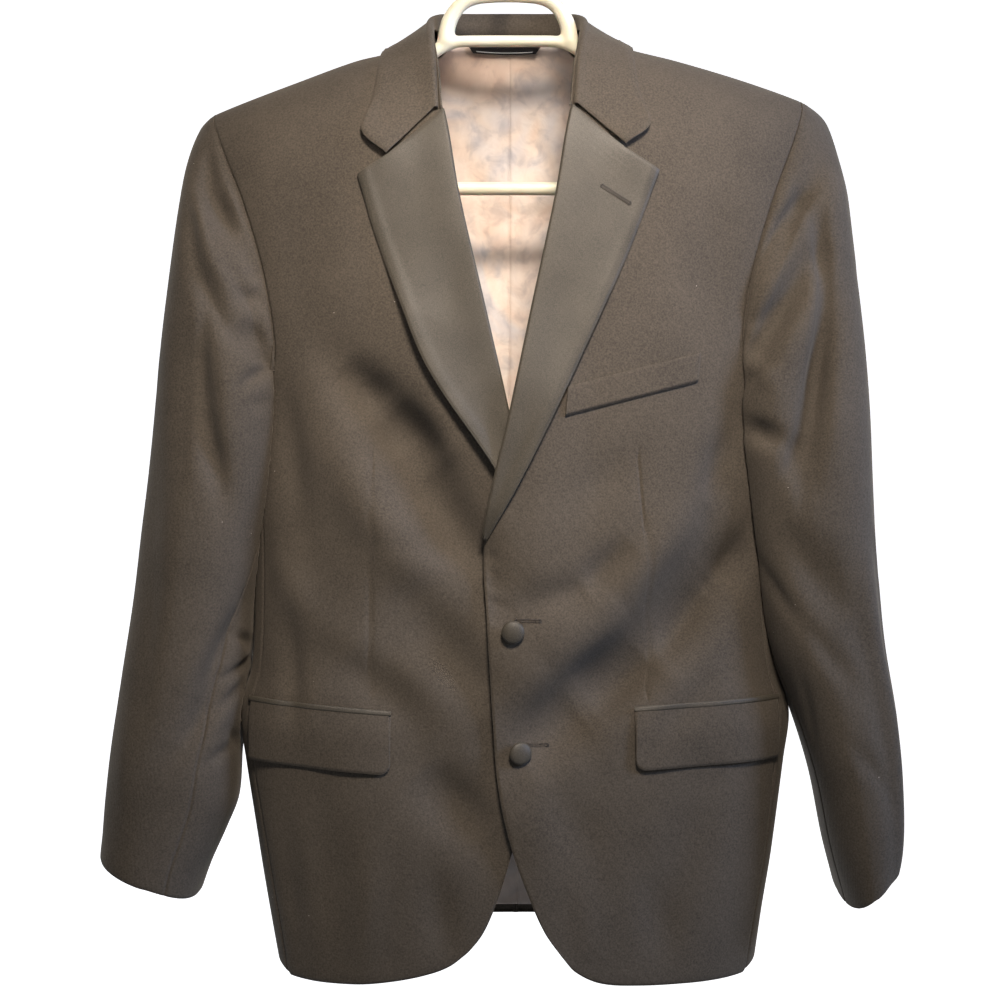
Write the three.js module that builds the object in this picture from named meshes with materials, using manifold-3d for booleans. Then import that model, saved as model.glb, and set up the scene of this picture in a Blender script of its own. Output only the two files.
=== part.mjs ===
// A single-breasted dinner jacket with notched satin lapels, hung on a moulded plastic hanger.
// Millimetres, +Z up. The origin is under the crown of the hanger's hook, the front faces -Y
// and +X is the wearer's left side.
import * as THREE from "three";
import Module from "manifold-3d";
import { mergeVertices } from "three/addons/utils/BufferGeometryUtils.js";

const wasm = await Module();
wasm.setup();

// Cloth and gaps
const woolWall = 2.0;
const satinWall = 1.6;
const liningWall = 1.0;
const collarWall = 2.2;
const seamGap = 0.4;
const sleeveSeamGap = 0.8;
const layerGap = 1.1;
const liningGap = 4;
const liningTopGap = 2; // it is sewn in along the neck, and hangs free lower down

// Body form: one rounded section at every height, front and back of the shoulder ridge
const sectionPower = 2.5;
const ridgePower = 2.2;
const ridgeDrop = 130;
const shoulderSeam = 18; // how far the shoulder seam lies in front of the ridge, along the cloth
const armholeTopX = 243;
const armholeFootZ = -411;
const sideSeamShare = 0.955; // place of the front seam of the side panel, as a share of half width
const backSeamShare = 0.915;
const overlapDepth = 6.8; // the buttoned left front stands this far in front of the right one
const hemBackZ = -861;
const liningHemZ = -853;
const liningSeamX = 1.8; // the lining's middle seam lies this far beside the seam of the back
const neckBackZ = -114;

// Section of the body by height: half width, depth in front and behind, and drift of the middle
const bodyRows = [
  { z: -80, half: 300, front: 74, back: 64, middle: 3 },
  { z: -180, half: 282, front: 76, back: 70, middle: 3 },
  { z: -230, half: 262, front: 78, back: 73, middle: 2 },
  { z: -280, half: 245, front: 80, back: 74, middle: 1 },
  { z: -330, half: 230, front: 80, back: 74, middle: 0 },
  { z: -390, half: 219, front: 78, back: 72, middle: 1 },
  { z: -430, half: 216, front: 76, back: 69, middle: 3 },
  { z: -500, half: 214, front: 71, back: 62, middle: 4 },
  { z: -580, half: 213, front: 68, back: 58, middle: 4 },
  { z: -640, half: 217, front: 69, back: 61, middle: 5 },
  { z: -675, half: 227, front: 70, back: 64, middle: 5 },
  { z: -715, half: 223, front: 70, back: 65, middle: 5 },
  { z: -791, half: 212, front: 69, back: 64, middle: 7 },
  { z: -842, half: 203, front: 67, back: 62, middle: 7 },
  { z: -890, half: 195, front: 65, back: 60, middle: 7 },
];

// Shoulder ridge seen from the front
const ridgeRows = [
  { x: -262, z: -192 },
  { x: -243, z: -183.5 },
  { x: -215, z: -172.5 },
  { x: -171, z: -156.3 },
  { x: -125, z: -139.8 },
  { x: -100, z: -133.8 },
  { x: -60, z: -120.5 },
  { x: 0, z: -94 },
  { x: 60, z: -118 },
  { x: 100, z: -130.3 },
  { x: 138, z: -139.6 },
  { x: 193, z: -155.6 },
  { x: 243, z: -172.8 },
  { x: 262, z: -182 },
];

// Armhole: place by the share of its height, measured from the shoulder down
const armholeFrontRows = [
  { share: 0, x: 243 },
  { share: 0.06, x: 240 },
  { share: 0.17, x: 230.5 },
  { share: 0.33, x: 215.5 },
  { share: 0.52, x: 201.5 },
  { share: 0.68, x: 193 },
  { share: 0.83, x: 188.5 },
  { share: 0.92, x: 189.5 },
  { share: 0.97, x: 196 },
  { share: 1, x: 206 },
];
const armholeBackRows = [
  { share: 0, x: 243 },
  { share: 0.08, x: 238 },
  { share: 0.2, x: 229 },
  { share: 0.36, x: 218 },
  { share: 0.55, x: 209 },
  { share: 0.72, x: 204 },
  { share: 0.87, x: 201 },
  { share: 1, x: 198 },
];

// Inner edges of the two fronts: neck, roll line, front edge and the round start of the hem
const leftEdgeRows = [
  { z: -112, x: 66 },
  { z: -150, x: 65 },
  { z: -178, x: 58 },
  { z: -200, x: 49.5 },
  { z: -262, x: 39 },
  { z: -350, x: 20.4 },
  { z: -443, x: 0.8 },
  { z: -480, x: -8.2 },
  { z: -540, x: -19.5 },
  { z: -598, x: -16.8 },
  { z: -686, x: -11.9 },
  { z: -730, x: -8 },
  { z: -777, x: 2.4 },
  { z: -819, x: 17.4 },
  { z: -845, x: 29 },
  { z: -864, x: 42 },
];
const rightEdgeRows = [
  { z: -112, x: 66 },
  { z: -150, x: 65.5 },
  { z: -178, x: 59.5 },
  { z: -200, x: 51 },
  { z: -262, x: 40.5 },
  { z: -350, x: 20.3 },
  { z: -443, x: -0.8 },
  { z: -530, x: -18 },
  { z: -620, x: -20 },
  { z: -700, x: -17 },
  { z: -750, x: -11 },
  { z: -785, x: -2.4 },
  { z: -823, x: 9.5 },
  { z: -847, x: 20 },
  { z: -862, x: 31.5 },
];
const leftHemRows = [
  { x: 42, z: -864 },
  { x: 53, z: -877 },
  { x: 73, z: -887 },
  { x: 104, z: -890 },
  { x: 152, z: -890 },
  { x: 193, z: -888 },
  { x: 206, z: -886 },
];
const rightHemRows = [
  { x: 31.5, z: -862 },
  { x: 47, z: -874 },
  { x: 66, z: -881 },
  { x: 93, z: -887 },
  { x: 122, z: -890.5 },
  { x: 160, z: -891 },
  { x: 198, z: -888.5 },
];

// Lapels: roll line and outer edge by height, then the slanted top edge down to the tip
const lapels = {
  left: {
    gorge: { x: 50, z: -193.8 },
    notch: { x: 91, z: -227.3 },
    tip: { x: 118.7, z: -243.8 },
    belly: [
      { z: -243.8, x: 118.7 },
      { z: -308, x: 94.5 },
      { z: -366, x: 68 },
      { z: -424, x: 41 },
      { z: -487, x: 9.5 },
      { z: -536, x: -17.5 },
    ],
  },
  right: {
    gorge: { x: 53, z: -197.1 },
    notch: { x: 95, z: -232.3 },
    tip: { x: 118.4, z: -247 },
    belly: [
      { z: -247, x: 118.4 },
      { z: -296, x: 104 },
      { z: -350, x: 83.5 },
      { z: -400, x: 62 },
      { z: -480, x: 8.5 },
      { z: -524, x: -14 },
    ],
  },
};

// Collar from the middle of the back to the gorge: fold line, foot of the stand, edge of the leaf
const collarRows = [
  { at: 0, foldX: 0, foldY: 49, foldZ: -84, standX: 0, standZ: -113.4, edgeX: 0, edgeW: -67 },
  { at: 1, foldX: 27, foldY: 46.5, foldZ: -84.8, standX: 27, standZ: -113.4, edgeX: 36, edgeW: -57 },
  { at: 2, foldX: 48, foldY: 37, foldZ: -87.5, standX: 46, standZ: -113, edgeX: 68, edgeW: -44 },
  { at: 3, foldX: 59.5, foldY: 19, foldZ: -93.5, standX: 58.5, standZ: -112, edgeX: 91, edgeW: -22 },
  { at: 4, foldX: 64, foldY: -4, foldZ: -104, standX: 63, standZ: -113, edgeX: 102, edgeW: 8 },
  { at: 5, foldX: 62.5, foldY: -32, foldZ: -122, standX: 61.5, standZ: -127, edgeX: 103, edgeW: 42 },
  { at: 6, foldX: 59, foldY: -57, foldZ: -149, standX: 58, standZ: -153, edgeX: 106, edgeW: 76 },
  { at: 7, foldX: 57, foldY: -69, foldZ: -172, standX: 56, standZ: -175, edgeX: 113.3, edgeW: 96.3 },
  { at: 8, foldX: 55.4, foldY: -75, foldZ: -191.5, standX: 54.4, standZ: -193.5, edgeX: 93.2, edgeW: 111.8 },
];
const collarMiddleX = -1.7; // the collar's ends hang this far to the wearer's right
const collarEndSlope = 0.8; // the ends are cut down towards the notch
const collarFall = 1.4; // and its right end lies this much lower, its left end higher

// Sleeves by height: reach of the outer and inner side from the middle, and of front and back
const sleeves = {
  left: {
    rows: [
      { z: -150, outer: 252, inner: 205, front: -45, back: 45 },
      { z: -172, outer: 259, inner: 203, front: -50, back: 50 },
      { z: -190, outer: 266, inner: 200, front: -56, back: 54 },
      { z: -223, outer: 273, inner: 195, front: -64, back: 60 },
      { z: -260, outer: 280, inner: 190, front: -70, back: 64 },
      { z: -323, outer: 285, inner: 184, front: -74, back: 66 },
      { z: -429, outer: 293, inner: 177, front: -75, back: 64 },
      { z: -486, outer: 296.5, inner: 186, front: -73, back: 60 },
      { z: -551, outer: 301.5, inner: 199, front: -71, back: 56 },
      { z: -620, outer: 307.5, inner: 212, front: -70, back: 52 },
      { z: -676, outer: 314, inner: 234, front: -71, back: 50 },
      { z: -727, outer: 317.5, inner: 250, front: -72, back: 50 },
      { z: -785, outer: 318.5, inner: 262, front: -72, back: 51 },
      { z: -828, outer: 310, inner: 274, front: -70, back: 53 },
    ],
    cuffZ: -812,
    cuffOutward: 18,
    cuffForward: -7,
    frontSeam: [168, 166],
    backSeam: [296, 300],
  },
  right: {
    rows: [
      { z: -150, outer: 243, inner: 205, front: -45, back: 45 },
      { z: -182, outer: 249, inner: 203, front: -50, back: 50 },
      { z: -195, outer: 256.5, inner: 200, front: -56, back: 54 },
      { z: -223, outer: 264, inner: 196, front: -64, back: 60 },
      { z: -260, outer: 270, inner: 191, front: -69, back: 64 },
      { z: -306, outer: 276.5, inner: 186, front: -72, back: 66 },
      { z: -393, outer: 287.5, inner: 179, front: -74, back: 65 },
      { z: -420, outer: 290, inner: 179, front: -74, back: 64 },
      { z: -486, outer: 297, inner: 189, front: -72, back: 60 },
      { z: -527, outer: 302, inner: 198, front: -70, back: 57 },
      { z: -585, outer: 308.5, inner: 208, front: -67, back: 53 },
      { z: -640, outer: 316.5, inner: 213, front: -65, back: 50 },
      { z: -664, outer: 320, inner: 215, front: -64, back: 48 },
      { z: -708, outer: 326.5, inner: 220, front: -62, back: 46 },
      { z: -748, outer: 331, inner: 223, front: -60, back: 44 },
      { z: -774, outer: 333, inner: 233, front: -59, back: 43 },
      { z: -803, outer: 335, inner: 246, front: -58, back: 42 },
      { z: -828, outer: 330, inner: 255, front: -57, back: 42 },
    ],
    cuffZ: -811,
    cuffOutward: 16,
    cuffForward: -3,
    frontSeam: [166, 110],
    backSeam: [296, 256],
  },
};
const sleeveSquareness = 2.3;
const sleeveClearance = 3.4;
const sleeveProud = 0.9; // the sleeve head stands this far above the body at the armhole

// Where the armhole's points go round the sleeve: 0 is outward, 90 forward, 180 inward
const capRows = [
  { share: 0, angle: 0 },
  { share: 0.06, angle: 20 },
  { share: 0.17, angle: 46 },
  { share: 0.33, angle: 74 },
  { share: 0.52, angle: 98 },
  { share: 0.68, angle: 118 },
  { share: 0.83, angle: 138 },
  { share: 0.92, angle: 152 },
  { share: 1, angle: 168 },
];

// Soft folds of the body, hollow where deep is positive, from one end to the other
const bodyFolds = [
  { face: "front", x: 186, z: -487, toX: 112, toZ: -597, wide: 24, deep: 7 },
  { face: "front", x: 112, z: -597, toX: 10, toZ: -690, wide: 24, deep: 7 },
  { face: "front", x: 120, z: -500, toX: 20, toZ: -612, wide: 24, deep: -4 },
  { face: "front", x: 150, z: -610, toX: 60, toZ: -700, wide: 26, deep: -3 },
  { face: "front", x: -105, z: -405, toX: -52, toZ: -505, wide: 24, deep: 5 },
  { face: "front", x: -150, z: -440, toX: -100, toZ: -540, wide: 28, deep: -3 },
  { face: "front", x: -40, z: -560, toX: -120, toZ: -655, wide: 24, deep: 4 },
  { face: "front", x: -78, z: -725, toX: -24, toZ: -775, wide: 22, deep: 4 },
  { face: "front", x: -165, z: -250, toX: -158, toZ: -375, wide: 26, deep: 3 },
  { face: "front", x: 165, z: -250, toX: 158, toZ: -375, wide: 26, deep: 3 },
  { face: "front", x: 150, z: -745, toX: 120, toZ: -860, wide: 20, deep: 4 },
  { face: "front", x: -150, z: -745, toX: -135, toZ: -860, wide: 20, deep: 4 },
  { face: "back", x: 170, z: -300, toX: 60, toZ: -470, wide: 24, deep: 5 },
  { face: "back", x: -170, z: -310, toX: -70, toZ: -460, wide: 22, deep: 5 },
  { face: "back", x: 130, z: -520, toX: 30, toZ: -580, wide: 22, deep: 5 },
  { face: "back", x: -140, z: -505, toX: -40, toZ: -590, wide: 24, deep: 5 },
  { face: "back", x: 90, z: -660, toX: 75, toZ: -850, wide: 26, deep: 5 },
  { face: "back", x: -100, z: -650, toX: -80, toZ: -850, wide: 24, deep: 5 },
  { face: "back", x: 0, z: -180, toX: 0, toZ: -300, wide: 30, deep: 3 },
];

// Folds of each sleeve by its angle and height
const sleeveFolds = {
  left: [
    { angle: 40, z: -215, toAngle: 112, toZ: -330, wide: 13, deep: 6 },
    { angle: 60, z: -215, toAngle: 128, toZ: -360, wide: 11, deep: -4 },
    { angle: 60, z: -290, toAngle: 130, toZ: -395, wide: 13, deep: 5 },
    { angle: 52, z: -300, toAngle: 96, toZ: -480, wide: 20, deep: 6 },
    { angle: 30, z: -320, toAngle: 50, toZ: -560, wide: 24, deep: -3 },
    { angle: 120, z: -520, toAngle: 80, toZ: -600, wide: 18, deep: 4 },
    { angle: 52, z: -560, toAngle: 44, toZ: -800, wide: 11, deep: -4 },
    { angle: 250, z: -300, toAngle: 300, toZ: -420, wide: 18, deep: 5 },
    { angle: 230, z: -480, toAngle: 290, toZ: -560, wide: 18, deep: 5 },
    { angle: 260, z: -650, toAngle: 275, toZ: -790, wide: 18, deep: 4 },
  ],
  right: [
    { angle: 44, z: -215, toAngle: 108, toZ: -310, wide: 13, deep: 6 },
    { angle: 52, z: -205, toAngle: 130, toZ: -375, wide: 12, deep: -5 },
    { angle: 96, z: -330, toAngle: 138, toZ: -395, wide: 11, deep: 5 },
    { angle: 66, z: -355, toAngle: 72, toZ: -480, wide: 18, deep: 4 },
    { angle: 150, z: -590, toAngle: 112, toZ: -660, wide: 12, deep: 5 },
    { angle: 142, z: -640, toAngle: 100, toZ: -700, wide: 12, deep: 4 },
    { angle: 40, z: -420, toAngle: 50, toZ: -640, wide: 24, deep: 3 },
    { angle: 250, z: -300, toAngle: 300, toZ: -430, wide: 18, deep: 5 },
    { angle: 235, z: -500, toAngle: 285, toZ: -590, wide: 18, deep: 5 },
  ],
};
const sleeveArc = 0.95; // mm along the cloth for one degree round a sleeve

const labelMiddleX = -3;

// Pockets: ends of the jet seen from the front, and the depth of the flap below it
const pockets = {
  left: { x: 100.5, z: -666.5, toX: 219, toZ: -660.5 },
  right: { x: -93.5, z: -670.5, toX: -209, toZ: -662 },
};
const jetHigh = 4.4;
const flapDeep = 46;
const flapCorner = 9;
const welt = { x: 46.8, z: -413.6, toX: 152.5, toZ: -386, deep: 23.5, lean: 2 };

// Buttons
const buttonPlaces = [
  { name: "button_upper", x: 4, z: -607, tilt: 0 },
  { name: "button_lower", x: 8.7, z: -703, tilt: 0.3 },
];
const buttonRadius = 9.1;
const buttonThick = 5.2;
const shankRadius = 2.6;
const shankLong = 2.2;

// Hanger
const frameRadius = 5.7;
const neckBarZ = -121.2;
const neckBarHalf = 43;
const armBelow = 10; // middle of the arms below the shoulder ridge
const armTip = { x: 213, z: -186 };
const trouserBarZ = -244;
const trouserBarRadius = 5.8;
const archTopZ = -83.6;
const archTopHalf = 33;
const archFootHalf = 51.3;
const archRadius = 5.4;
const hookRadius = 3.8;
const hookInner = 21;
const stemFootZ = -77.9;

const clamp = THREE.MathUtils.clamp;
const lerp = THREE.MathUtils.lerp;
const smooth = (x, from, to) => THREE.MathUtils.smoothstep(x, Math.min(from, to), Math.max(from, to));
const signed = (value, power) => Math.sign(value) * Math.abs(value) ** power;

// Smooth curve through a table: one column's value where the key column has the value given.
function columnAt(rows, key, at, column) {
  const rising = rows[rows.length - 1][key] > rows[0][key] ? 1 : -1;
  let i = 0;
  while (i < rows.length - 2 && rising * at > rising * rows[i + 1][key]) i++;
  const slope = (k) => {
    const before = rows[Math.max(k - 1, 0)];
    const after = rows[Math.min(k + 1, rows.length - 1)];
    return (after[column] - before[column]) / (after[key] - before[key]);
  };
  const span = rows[i + 1][key] - rows[i][key];
  const t = clamp((at - rows[i][key]) / span, 0, 1);
  const square = t * t;
  const cube = square * t;
  const hermite = [2 * cube - 3 * square + 1, cube - 2 * square + t, 3 * square - 2 * cube, cube - square];
  return (
    hermite[0] * rows[i][column] +
    hermite[1] * span * slope(i) +
    hermite[2] * rows[i + 1][column] +
    hermite[3] * span * slope(i + 1)
  );
}

const ridgeZ = (x) => columnAt(ridgeRows, "x", x, "z");
const bodyAt = (z, column) => columnAt(bodyRows, "z", z, column);

// How deep the folds in a table are at a point: full on a fold's line, fading across its width.
function foldDepth(folds, u, v) {
  let depth = 0;
  for (const fold of folds) {
    const along = new THREE.Vector2(fold.toU - fold.u, fold.toV - fold.v);
    const from = new THREE.Vector2(u - fold.u, v - fold.v);
    const share = from.dot(along) / along.lengthSq();
    const inside = clamp(share, 0, 1);
    const off = from.sub(along.clone().multiplyScalar(inside));
    const past = Math.abs(share - inside) * along.length();
    const across = Math.sqrt(Math.max(off.lengthSq() - past ** 2, 0));
    const fade = Math.sin(Math.PI * clamp(0.12 + 0.76 * inside, 0, 1));
    depth += fold.deep * fade * Math.exp(-((across / fold.wide) ** 2) - (past / (1.6 * fold.wide)) ** 2);
  }
  return depth;
}

const foldsOf = (face) =>
  bodyFolds
    .filter((fold) => fold.face === face)
    .map((fold) => ({ ...fold, u: fold.x, v: fold.z, toU: fold.toX, toV: fold.toZ }));
const frontFolds = foldsOf("front");
const backFolds = foldsOf("back");

// A place on the body is x and w, the way along the cloth from the shoulder ridge: down the
// front where w is positive and down the back where it is negative.
function wayDown(x, z, face = 1) {
  const drop = Math.max(ridgeZ(x) - z, 0);
  if (drop >= ridgeDrop) return face * drop;
  return (face * ridgeDrop * Math.acos((1 - drop / ridgeDrop) ** (ridgePower / 2))) / (Math.PI / 2);
}

function heightAt(x, w) {
  const way = Math.abs(w);
  if (way >= ridgeDrop) return ridgeZ(x) - way;
  return ridgeZ(x) - ridgeDrop * (1 - Math.cos((way / ridgeDrop) * (Math.PI / 2)) ** (2 / ridgePower));
}

function bodyPoint(x, w) {
  const z = heightAt(x, w);
  const face = w >= 0 ? 1 : -1;
  const share = clamp(Math.abs(x - bodyAt(z, "middle")) / bodyAt(z, "half"), 0, 1);
  const fall = (1 - share ** sectionPower) ** (1 / sectionPower);
  const turn = Math.min(Math.abs(w) / ridgeDrop, 1) * (Math.PI / 2);
  const depth = bodyAt(z, face > 0 ? "front" : "back") * Math.sin(turn) ** (2 / ridgePower);
  const fold = foldDepth(face > 0 ? frontFolds : backFolds, x, z) * Math.sin(turn);
  return new THREE.Vector3(x, -face * (depth * fall - fold * smooth(fall, 0.55, 0.8)), z);
}

// Outward normal of the body form at a place.
function bodyNormal(x, w) {
  const step = 3;
  const across = bodyPoint(x + step, w).sub(bodyPoint(x - step, w));
  const down = bodyPoint(x, w + step).sub(bodyPoint(x, w - step));
  return across.cross(down).normalize().negate();
}

const onBody = (x, w, lift) => bodyPoint(x, w).addScaledVector(bodyNormal(x, w), lift);

// A face is a grid of points, face[row][column]. Its normals come from its own neighbours.
function faceNormals(face, ring) {
  const rows = face.length;
  const columns = face[0].length;
  const at = (j, i) => face[clamp(j, 0, rows - 1)][ring ? (i + columns) % columns : clamp(i, 0, columns - 1)];
  return face.map((row, j) =>
    row.map((_, i) => {
      const across = at(j, i + 1).clone().sub(at(j, i - 1));
      const down = at(j + 1, i).clone().sub(at(j - 1, i));
      return across.cross(down).normalize();
    }),
  );
}

// Closed cloth wall on a face: `out` is 1 where across x down points out of the garment.
function wallMesh(name, material, face, wall, { out = 1, lift = 0, normals = null } = {}) {
  const rows = face.length;
  const columns = face[0].length;
  const normal = normals ?? faceNormals(face, false);
  const positions = [];
  for (const level of [lift, lift - wall]) {
    for (let j = 0; j < rows; j++) {
      for (let i = 0; i < columns; i++) {
        positions.push(...face[j][i].clone().addScaledVector(normal[j][i], out * level));
      }
    }
  }
  const inner = rows * columns;
  const index = [];
  const apart = (p, q, axis) => positions[3 * p + axis] - positions[3 * q + axis];
  const far = (p, q) => Math.hypot(...[0, 1, 2].map((axis) => apart(p, q, axis)));
  const quad = (a, b, c, d) => {
    if (far(a, c) <= far(b, d)) index.push(a, b, c, a, c, d);
    else index.push(a, b, d, b, c, d);
  };
  for (let j = 0; j < rows - 1; j++) {
    for (let i = 0; i < columns - 1; i++) {
      const a = j * columns + i;
      quad(a, a + 1, a + columns + 1, a + columns);
      quad(inner + a, inner + a + columns, inner + a + columns + 1, inner + a + 1);
    }
  }
  const border = [];
  for (let i = 0; i < columns - 1; i++) border.push(i);
  for (let j = 0; j < rows - 1; j++) border.push(j * columns + columns - 1);
  for (let i = columns - 1; i > 0; i--) border.push((rows - 1) * columns + i);
  for (let j = rows - 1; j > 0; j--) border.push(j * columns);
  border.forEach((a, k) => {
    const b = border[(k + 1) % border.length];
    quad(a, inner + a, inner + b, b);
  });
  return closedMesh(name, material, positions, index);
}

// A named mesh from points and triangles, turned so that its faces point outwards.
function closedMesh(name, material, positions, index) {
  const point = (k) => new THREE.Vector3().fromArray(positions, 3 * index[k]);
  let volume = 0;
  for (let k = 0; k < index.length; k += 3) volume += point(k).dot(point(k + 1).cross(point(k + 2)));
  const turned = volume < 0 ? index.slice().reverse() : index;
  const geometry = new THREE.BufferGeometry();
  geometry.setAttribute("position", new THREE.Float32BufferAttribute(positions, 3));
  geometry.setIndex(turned);
  return named(name, material, geometry);
}

function named(name, material, geometry) {
  const mesh = new THREE.Mesh(geometry, material);
  mesh.name = name;
  return mesh;
}

// Draws the chosen borders of a face inwards by half a seam's gap.
function drawIn(face, borders, distance = seamGap / 2) {
  const rows = face.length;
  const columns = face[0].length;
  const moved = face.map((row) => row.map((point) => point.clone()));
  const pull = (j, i, nextJ, nextI) => {
    const way = face[nextJ][nextI].clone().sub(face[j][i]).normalize();
    moved[j][i].addScaledVector(way, distance);
  };
  for (let i = 0; i < columns; i++) {
    if (borders.includes("top")) pull(0, i, 1, i);
    if (borders.includes("bottom")) pull(rows - 1, i, rows - 2, i);
  }
  for (let j = 0; j < rows; j++) {
    if (borders.includes("first")) pull(j, 0, j, 1);
    if (borders.includes("last")) pull(j, columns - 1, j, columns - 2);
  }
  return moved;
}

// Places inside four borders given as x and w: first and last run down, top and bottom across.
function fillPlaces(first, last, top, bottom) {
  const rows = first.length;
  const columns = top.length;
  return first.map((_, j) =>
    top.map((__, i) => {
      const u = i / (columns - 1);
      const v = j / (rows - 1);
      const topShare = (1 - v) ** 3;
      const bottomShare = v ** 5;
      const part = (axis) =>
        lerp(first[j][axis], last[j][axis], u) +
        topShare * (top[i][axis] - lerp(top[0][axis], top[columns - 1][axis], u)) +
        bottomShare * (bottom[i][axis] - lerp(bottom[0][axis], bottom[columns - 1][axis], u));
      return { x: part("x"), w: part("w") };
    }),
  );
}

const armFrontShares = [0, 0.05, 0.12, 0.2, 0.3, 0.41, 0.53, 0.65, 0.77, 0.88, 0.95, 1];
const armBackShares = [0, 0.012, 0.026, 0.045, 0.1, 0.17, 0.26, 0.37, 0.49, 0.61, 0.74, 0.87, 1];
const ridgeSteps = [
  { share: 0.012, w: -5 },
  { share: 0.026, w: -19 },
];
const armFootSteps = 4;
const skirtSteps = 13;
const shoulderColumns = 9;
const neckPointX = 66;

// Armhole of one side as places on the body: down the front, or down the back.
function armholePlaces(side, rows, shares, face) {
  const topW = shoulderSeam * 0.55;
  const top = heightAt(side * armholeTopX, topW);
  return shares.map((share) => {
    const z = lerp(top, armholeFootZ, share);
    const x = side * columnAt(rows, "share", share, "x") + bodyAt(z, "middle") * share;
    const step = face < 0 ? ridgeSteps.find((row) => row.share === share) : null;
    return { x, w: share === 0 ? topW : (step?.w ?? wayDown(x, z, face)), share };
  });
}

const sideSeamX = (side, z, share) => bodyAt(z, "middle") + side * share * bodyAt(z, "half");

// One front panel as places on the body.
function frontPlaces(side) {
  const edge = side > 0 ? leftEdgeRows : rightEdgeRows;
  const hem = side > 0 ? leftHemRows : rightHemRows;
  const corner = edge[edge.length - 1];
  const arm = armholePlaces(side, armholeFrontRows, armFrontShares, 1);
  const bustZ = -440;
  const edgeTop = heightAt(side * neckPointX, shoulderSeam);
  const first = [];
  const last = [];
  for (const place of arm) {
    const z = lerp(edgeTop, bustZ, place.share);
    const x = side * columnAt(edge, "z", z, "x");
    first.push(place.share === 0 ? { x: side * neckPointX, w: shoulderSeam } : { x, w: wayDown(x, z) });
    last.push(place);
  }
  const hemSideZ = hem[hem.length - 1].z;
  for (let j = 1; j <= skirtSteps; j++) {
    const z = lerp(bustZ, corner.z, (j / skirtSteps) ** 0.93);
    const x = side * columnAt(edge, "z", z, "x");
    first.push({ x, w: wayDown(x, z) });
    const seamZ = lerp(armholeFootZ, hemSideZ, j / skirtSteps);
    const seamX = sideSeamX(side, seamZ, sideSeamShare);
    last.push({ x: seamX, w: wayDown(seamX, seamZ) });
  }
  const top = [];
  const bottom = [];
  const hemSideX = side * last[last.length - 1].x;
  for (let i = 0; i <= shoulderColumns; i++) {
    const u = i / shoulderColumns;
    top.push({ x: lerp(first[0].x, last[0].x, u), w: lerp(shoulderSeam, last[0].w, u) });
    const x = lerp(corner.x, hemSideX, u ** 1.15);
    bottom.push({ x: side * x, w: wayDown(side * x, columnAt(hem, "x", x, "z")) });
  }
  return fillPlaces(first, last, top, bottom);
}

// How far a front stands out: the left front lies over the right one along the button line.
function frontLift(side, x, z) {
  if (side < 0) return 0;
  return overlapDepth * (1 - smooth(x, 18, 72)) * smooth(-z, 330, 430);
}

const placesToFace = (places, liftAt) =>
  places.map((row) => row.map(({ x, w }) => onBody(x, w, liftAt(x, heightAt(x, w)))));

const placesToNormals = (places) => places.map((row) => row.map(({ x, w }) => bodyNormal(x, w)));

function backPlaces(side) {
  const arm = armholePlaces(side, armholeBackRows, armBackShares, -1);
  const middleX = (z) => bodyAt(z, "middle") * smooth(-z, 400, 560);
  const first = [];
  const last = [];
  const bustZ = -425;
  for (const place of arm) {
    const z = lerp(neckBackZ, bustZ, place.share);
    first.push({ x: middleX(z), w: wayDown(0, z, -1) });
    last.push(place);
  }
  const hemSideZ = hemBackZ - 7;
  for (let j = 1; j <= skirtSteps; j++) {
    const z = lerp(bustZ, hemBackZ, j / skirtSteps);
    first.push({ x: middleX(z), w: wayDown(middleX(z), z, -1) });
    const seamZ = lerp(armholeFootZ, hemSideZ, j / skirtSteps);
    const seamX = sideSeamX(side, seamZ, backSeamShare);
    last.push({ x: seamX, w: wayDown(seamX, seamZ, -1) });
  }
  const neckRows = [
    { x: 0, w: first[0].w },
    { x: 26, w: wayDown(26, neckBackZ, -1) },
    { x: 46, w: wayDown(46, -113.5, -1) },
    { x: 58, w: -12 },
    { x: neckPointX, w: shoulderSeam },
  ];
  const neckColumns = neckRows.length - 1;
  const top = [];
  const bottom = [];
  for (let i = 0; i <= shoulderColumns + neckColumns; i++) {
    const u = (i - neckColumns) / shoulderColumns;
    const neck = neckRows[Math.min(i, neckColumns)];
    const place =
      i <= neckColumns
        ? { x: side * neck.x, w: neck.w }
        : { x: lerp(side * neckPointX, last[0].x, u), w: lerp(shoulderSeam, last[0].w, u) };
    top.push(place);
    const share = i / (shoulderColumns + neckColumns);
    const end = last[last.length - 1];
    const x = lerp(first[first.length - 1].x, end.x, share);
    bottom.push({ x, w: wayDown(x, lerp(hemBackZ, hemSideZ, share ** 2), -1) });
  }
  return fillPlaces(first, last, top, bottom);
}

// Side panel: from the front seam round the side to the back seam.
function sidePoint(side, z, share) {
  const turnOf = (seamShare) => Math.acos(seamShare ** (sectionPower / 2));
  const turn = lerp(turnOf(sideSeamShare), -turnOf(backSeamShare), share);
  const half = bodyAt(z, "half");
  const depth = turn > 0 ? bodyAt(z, "front") : bodyAt(z, "back");
  const x = bodyAt(z, "middle") + side * half * Math.cos(turn) ** (2 / sectionPower);
  return new THREE.Vector3(x, -signed(Math.sin(turn), 2 / sectionPower) * depth, z);
}

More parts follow.
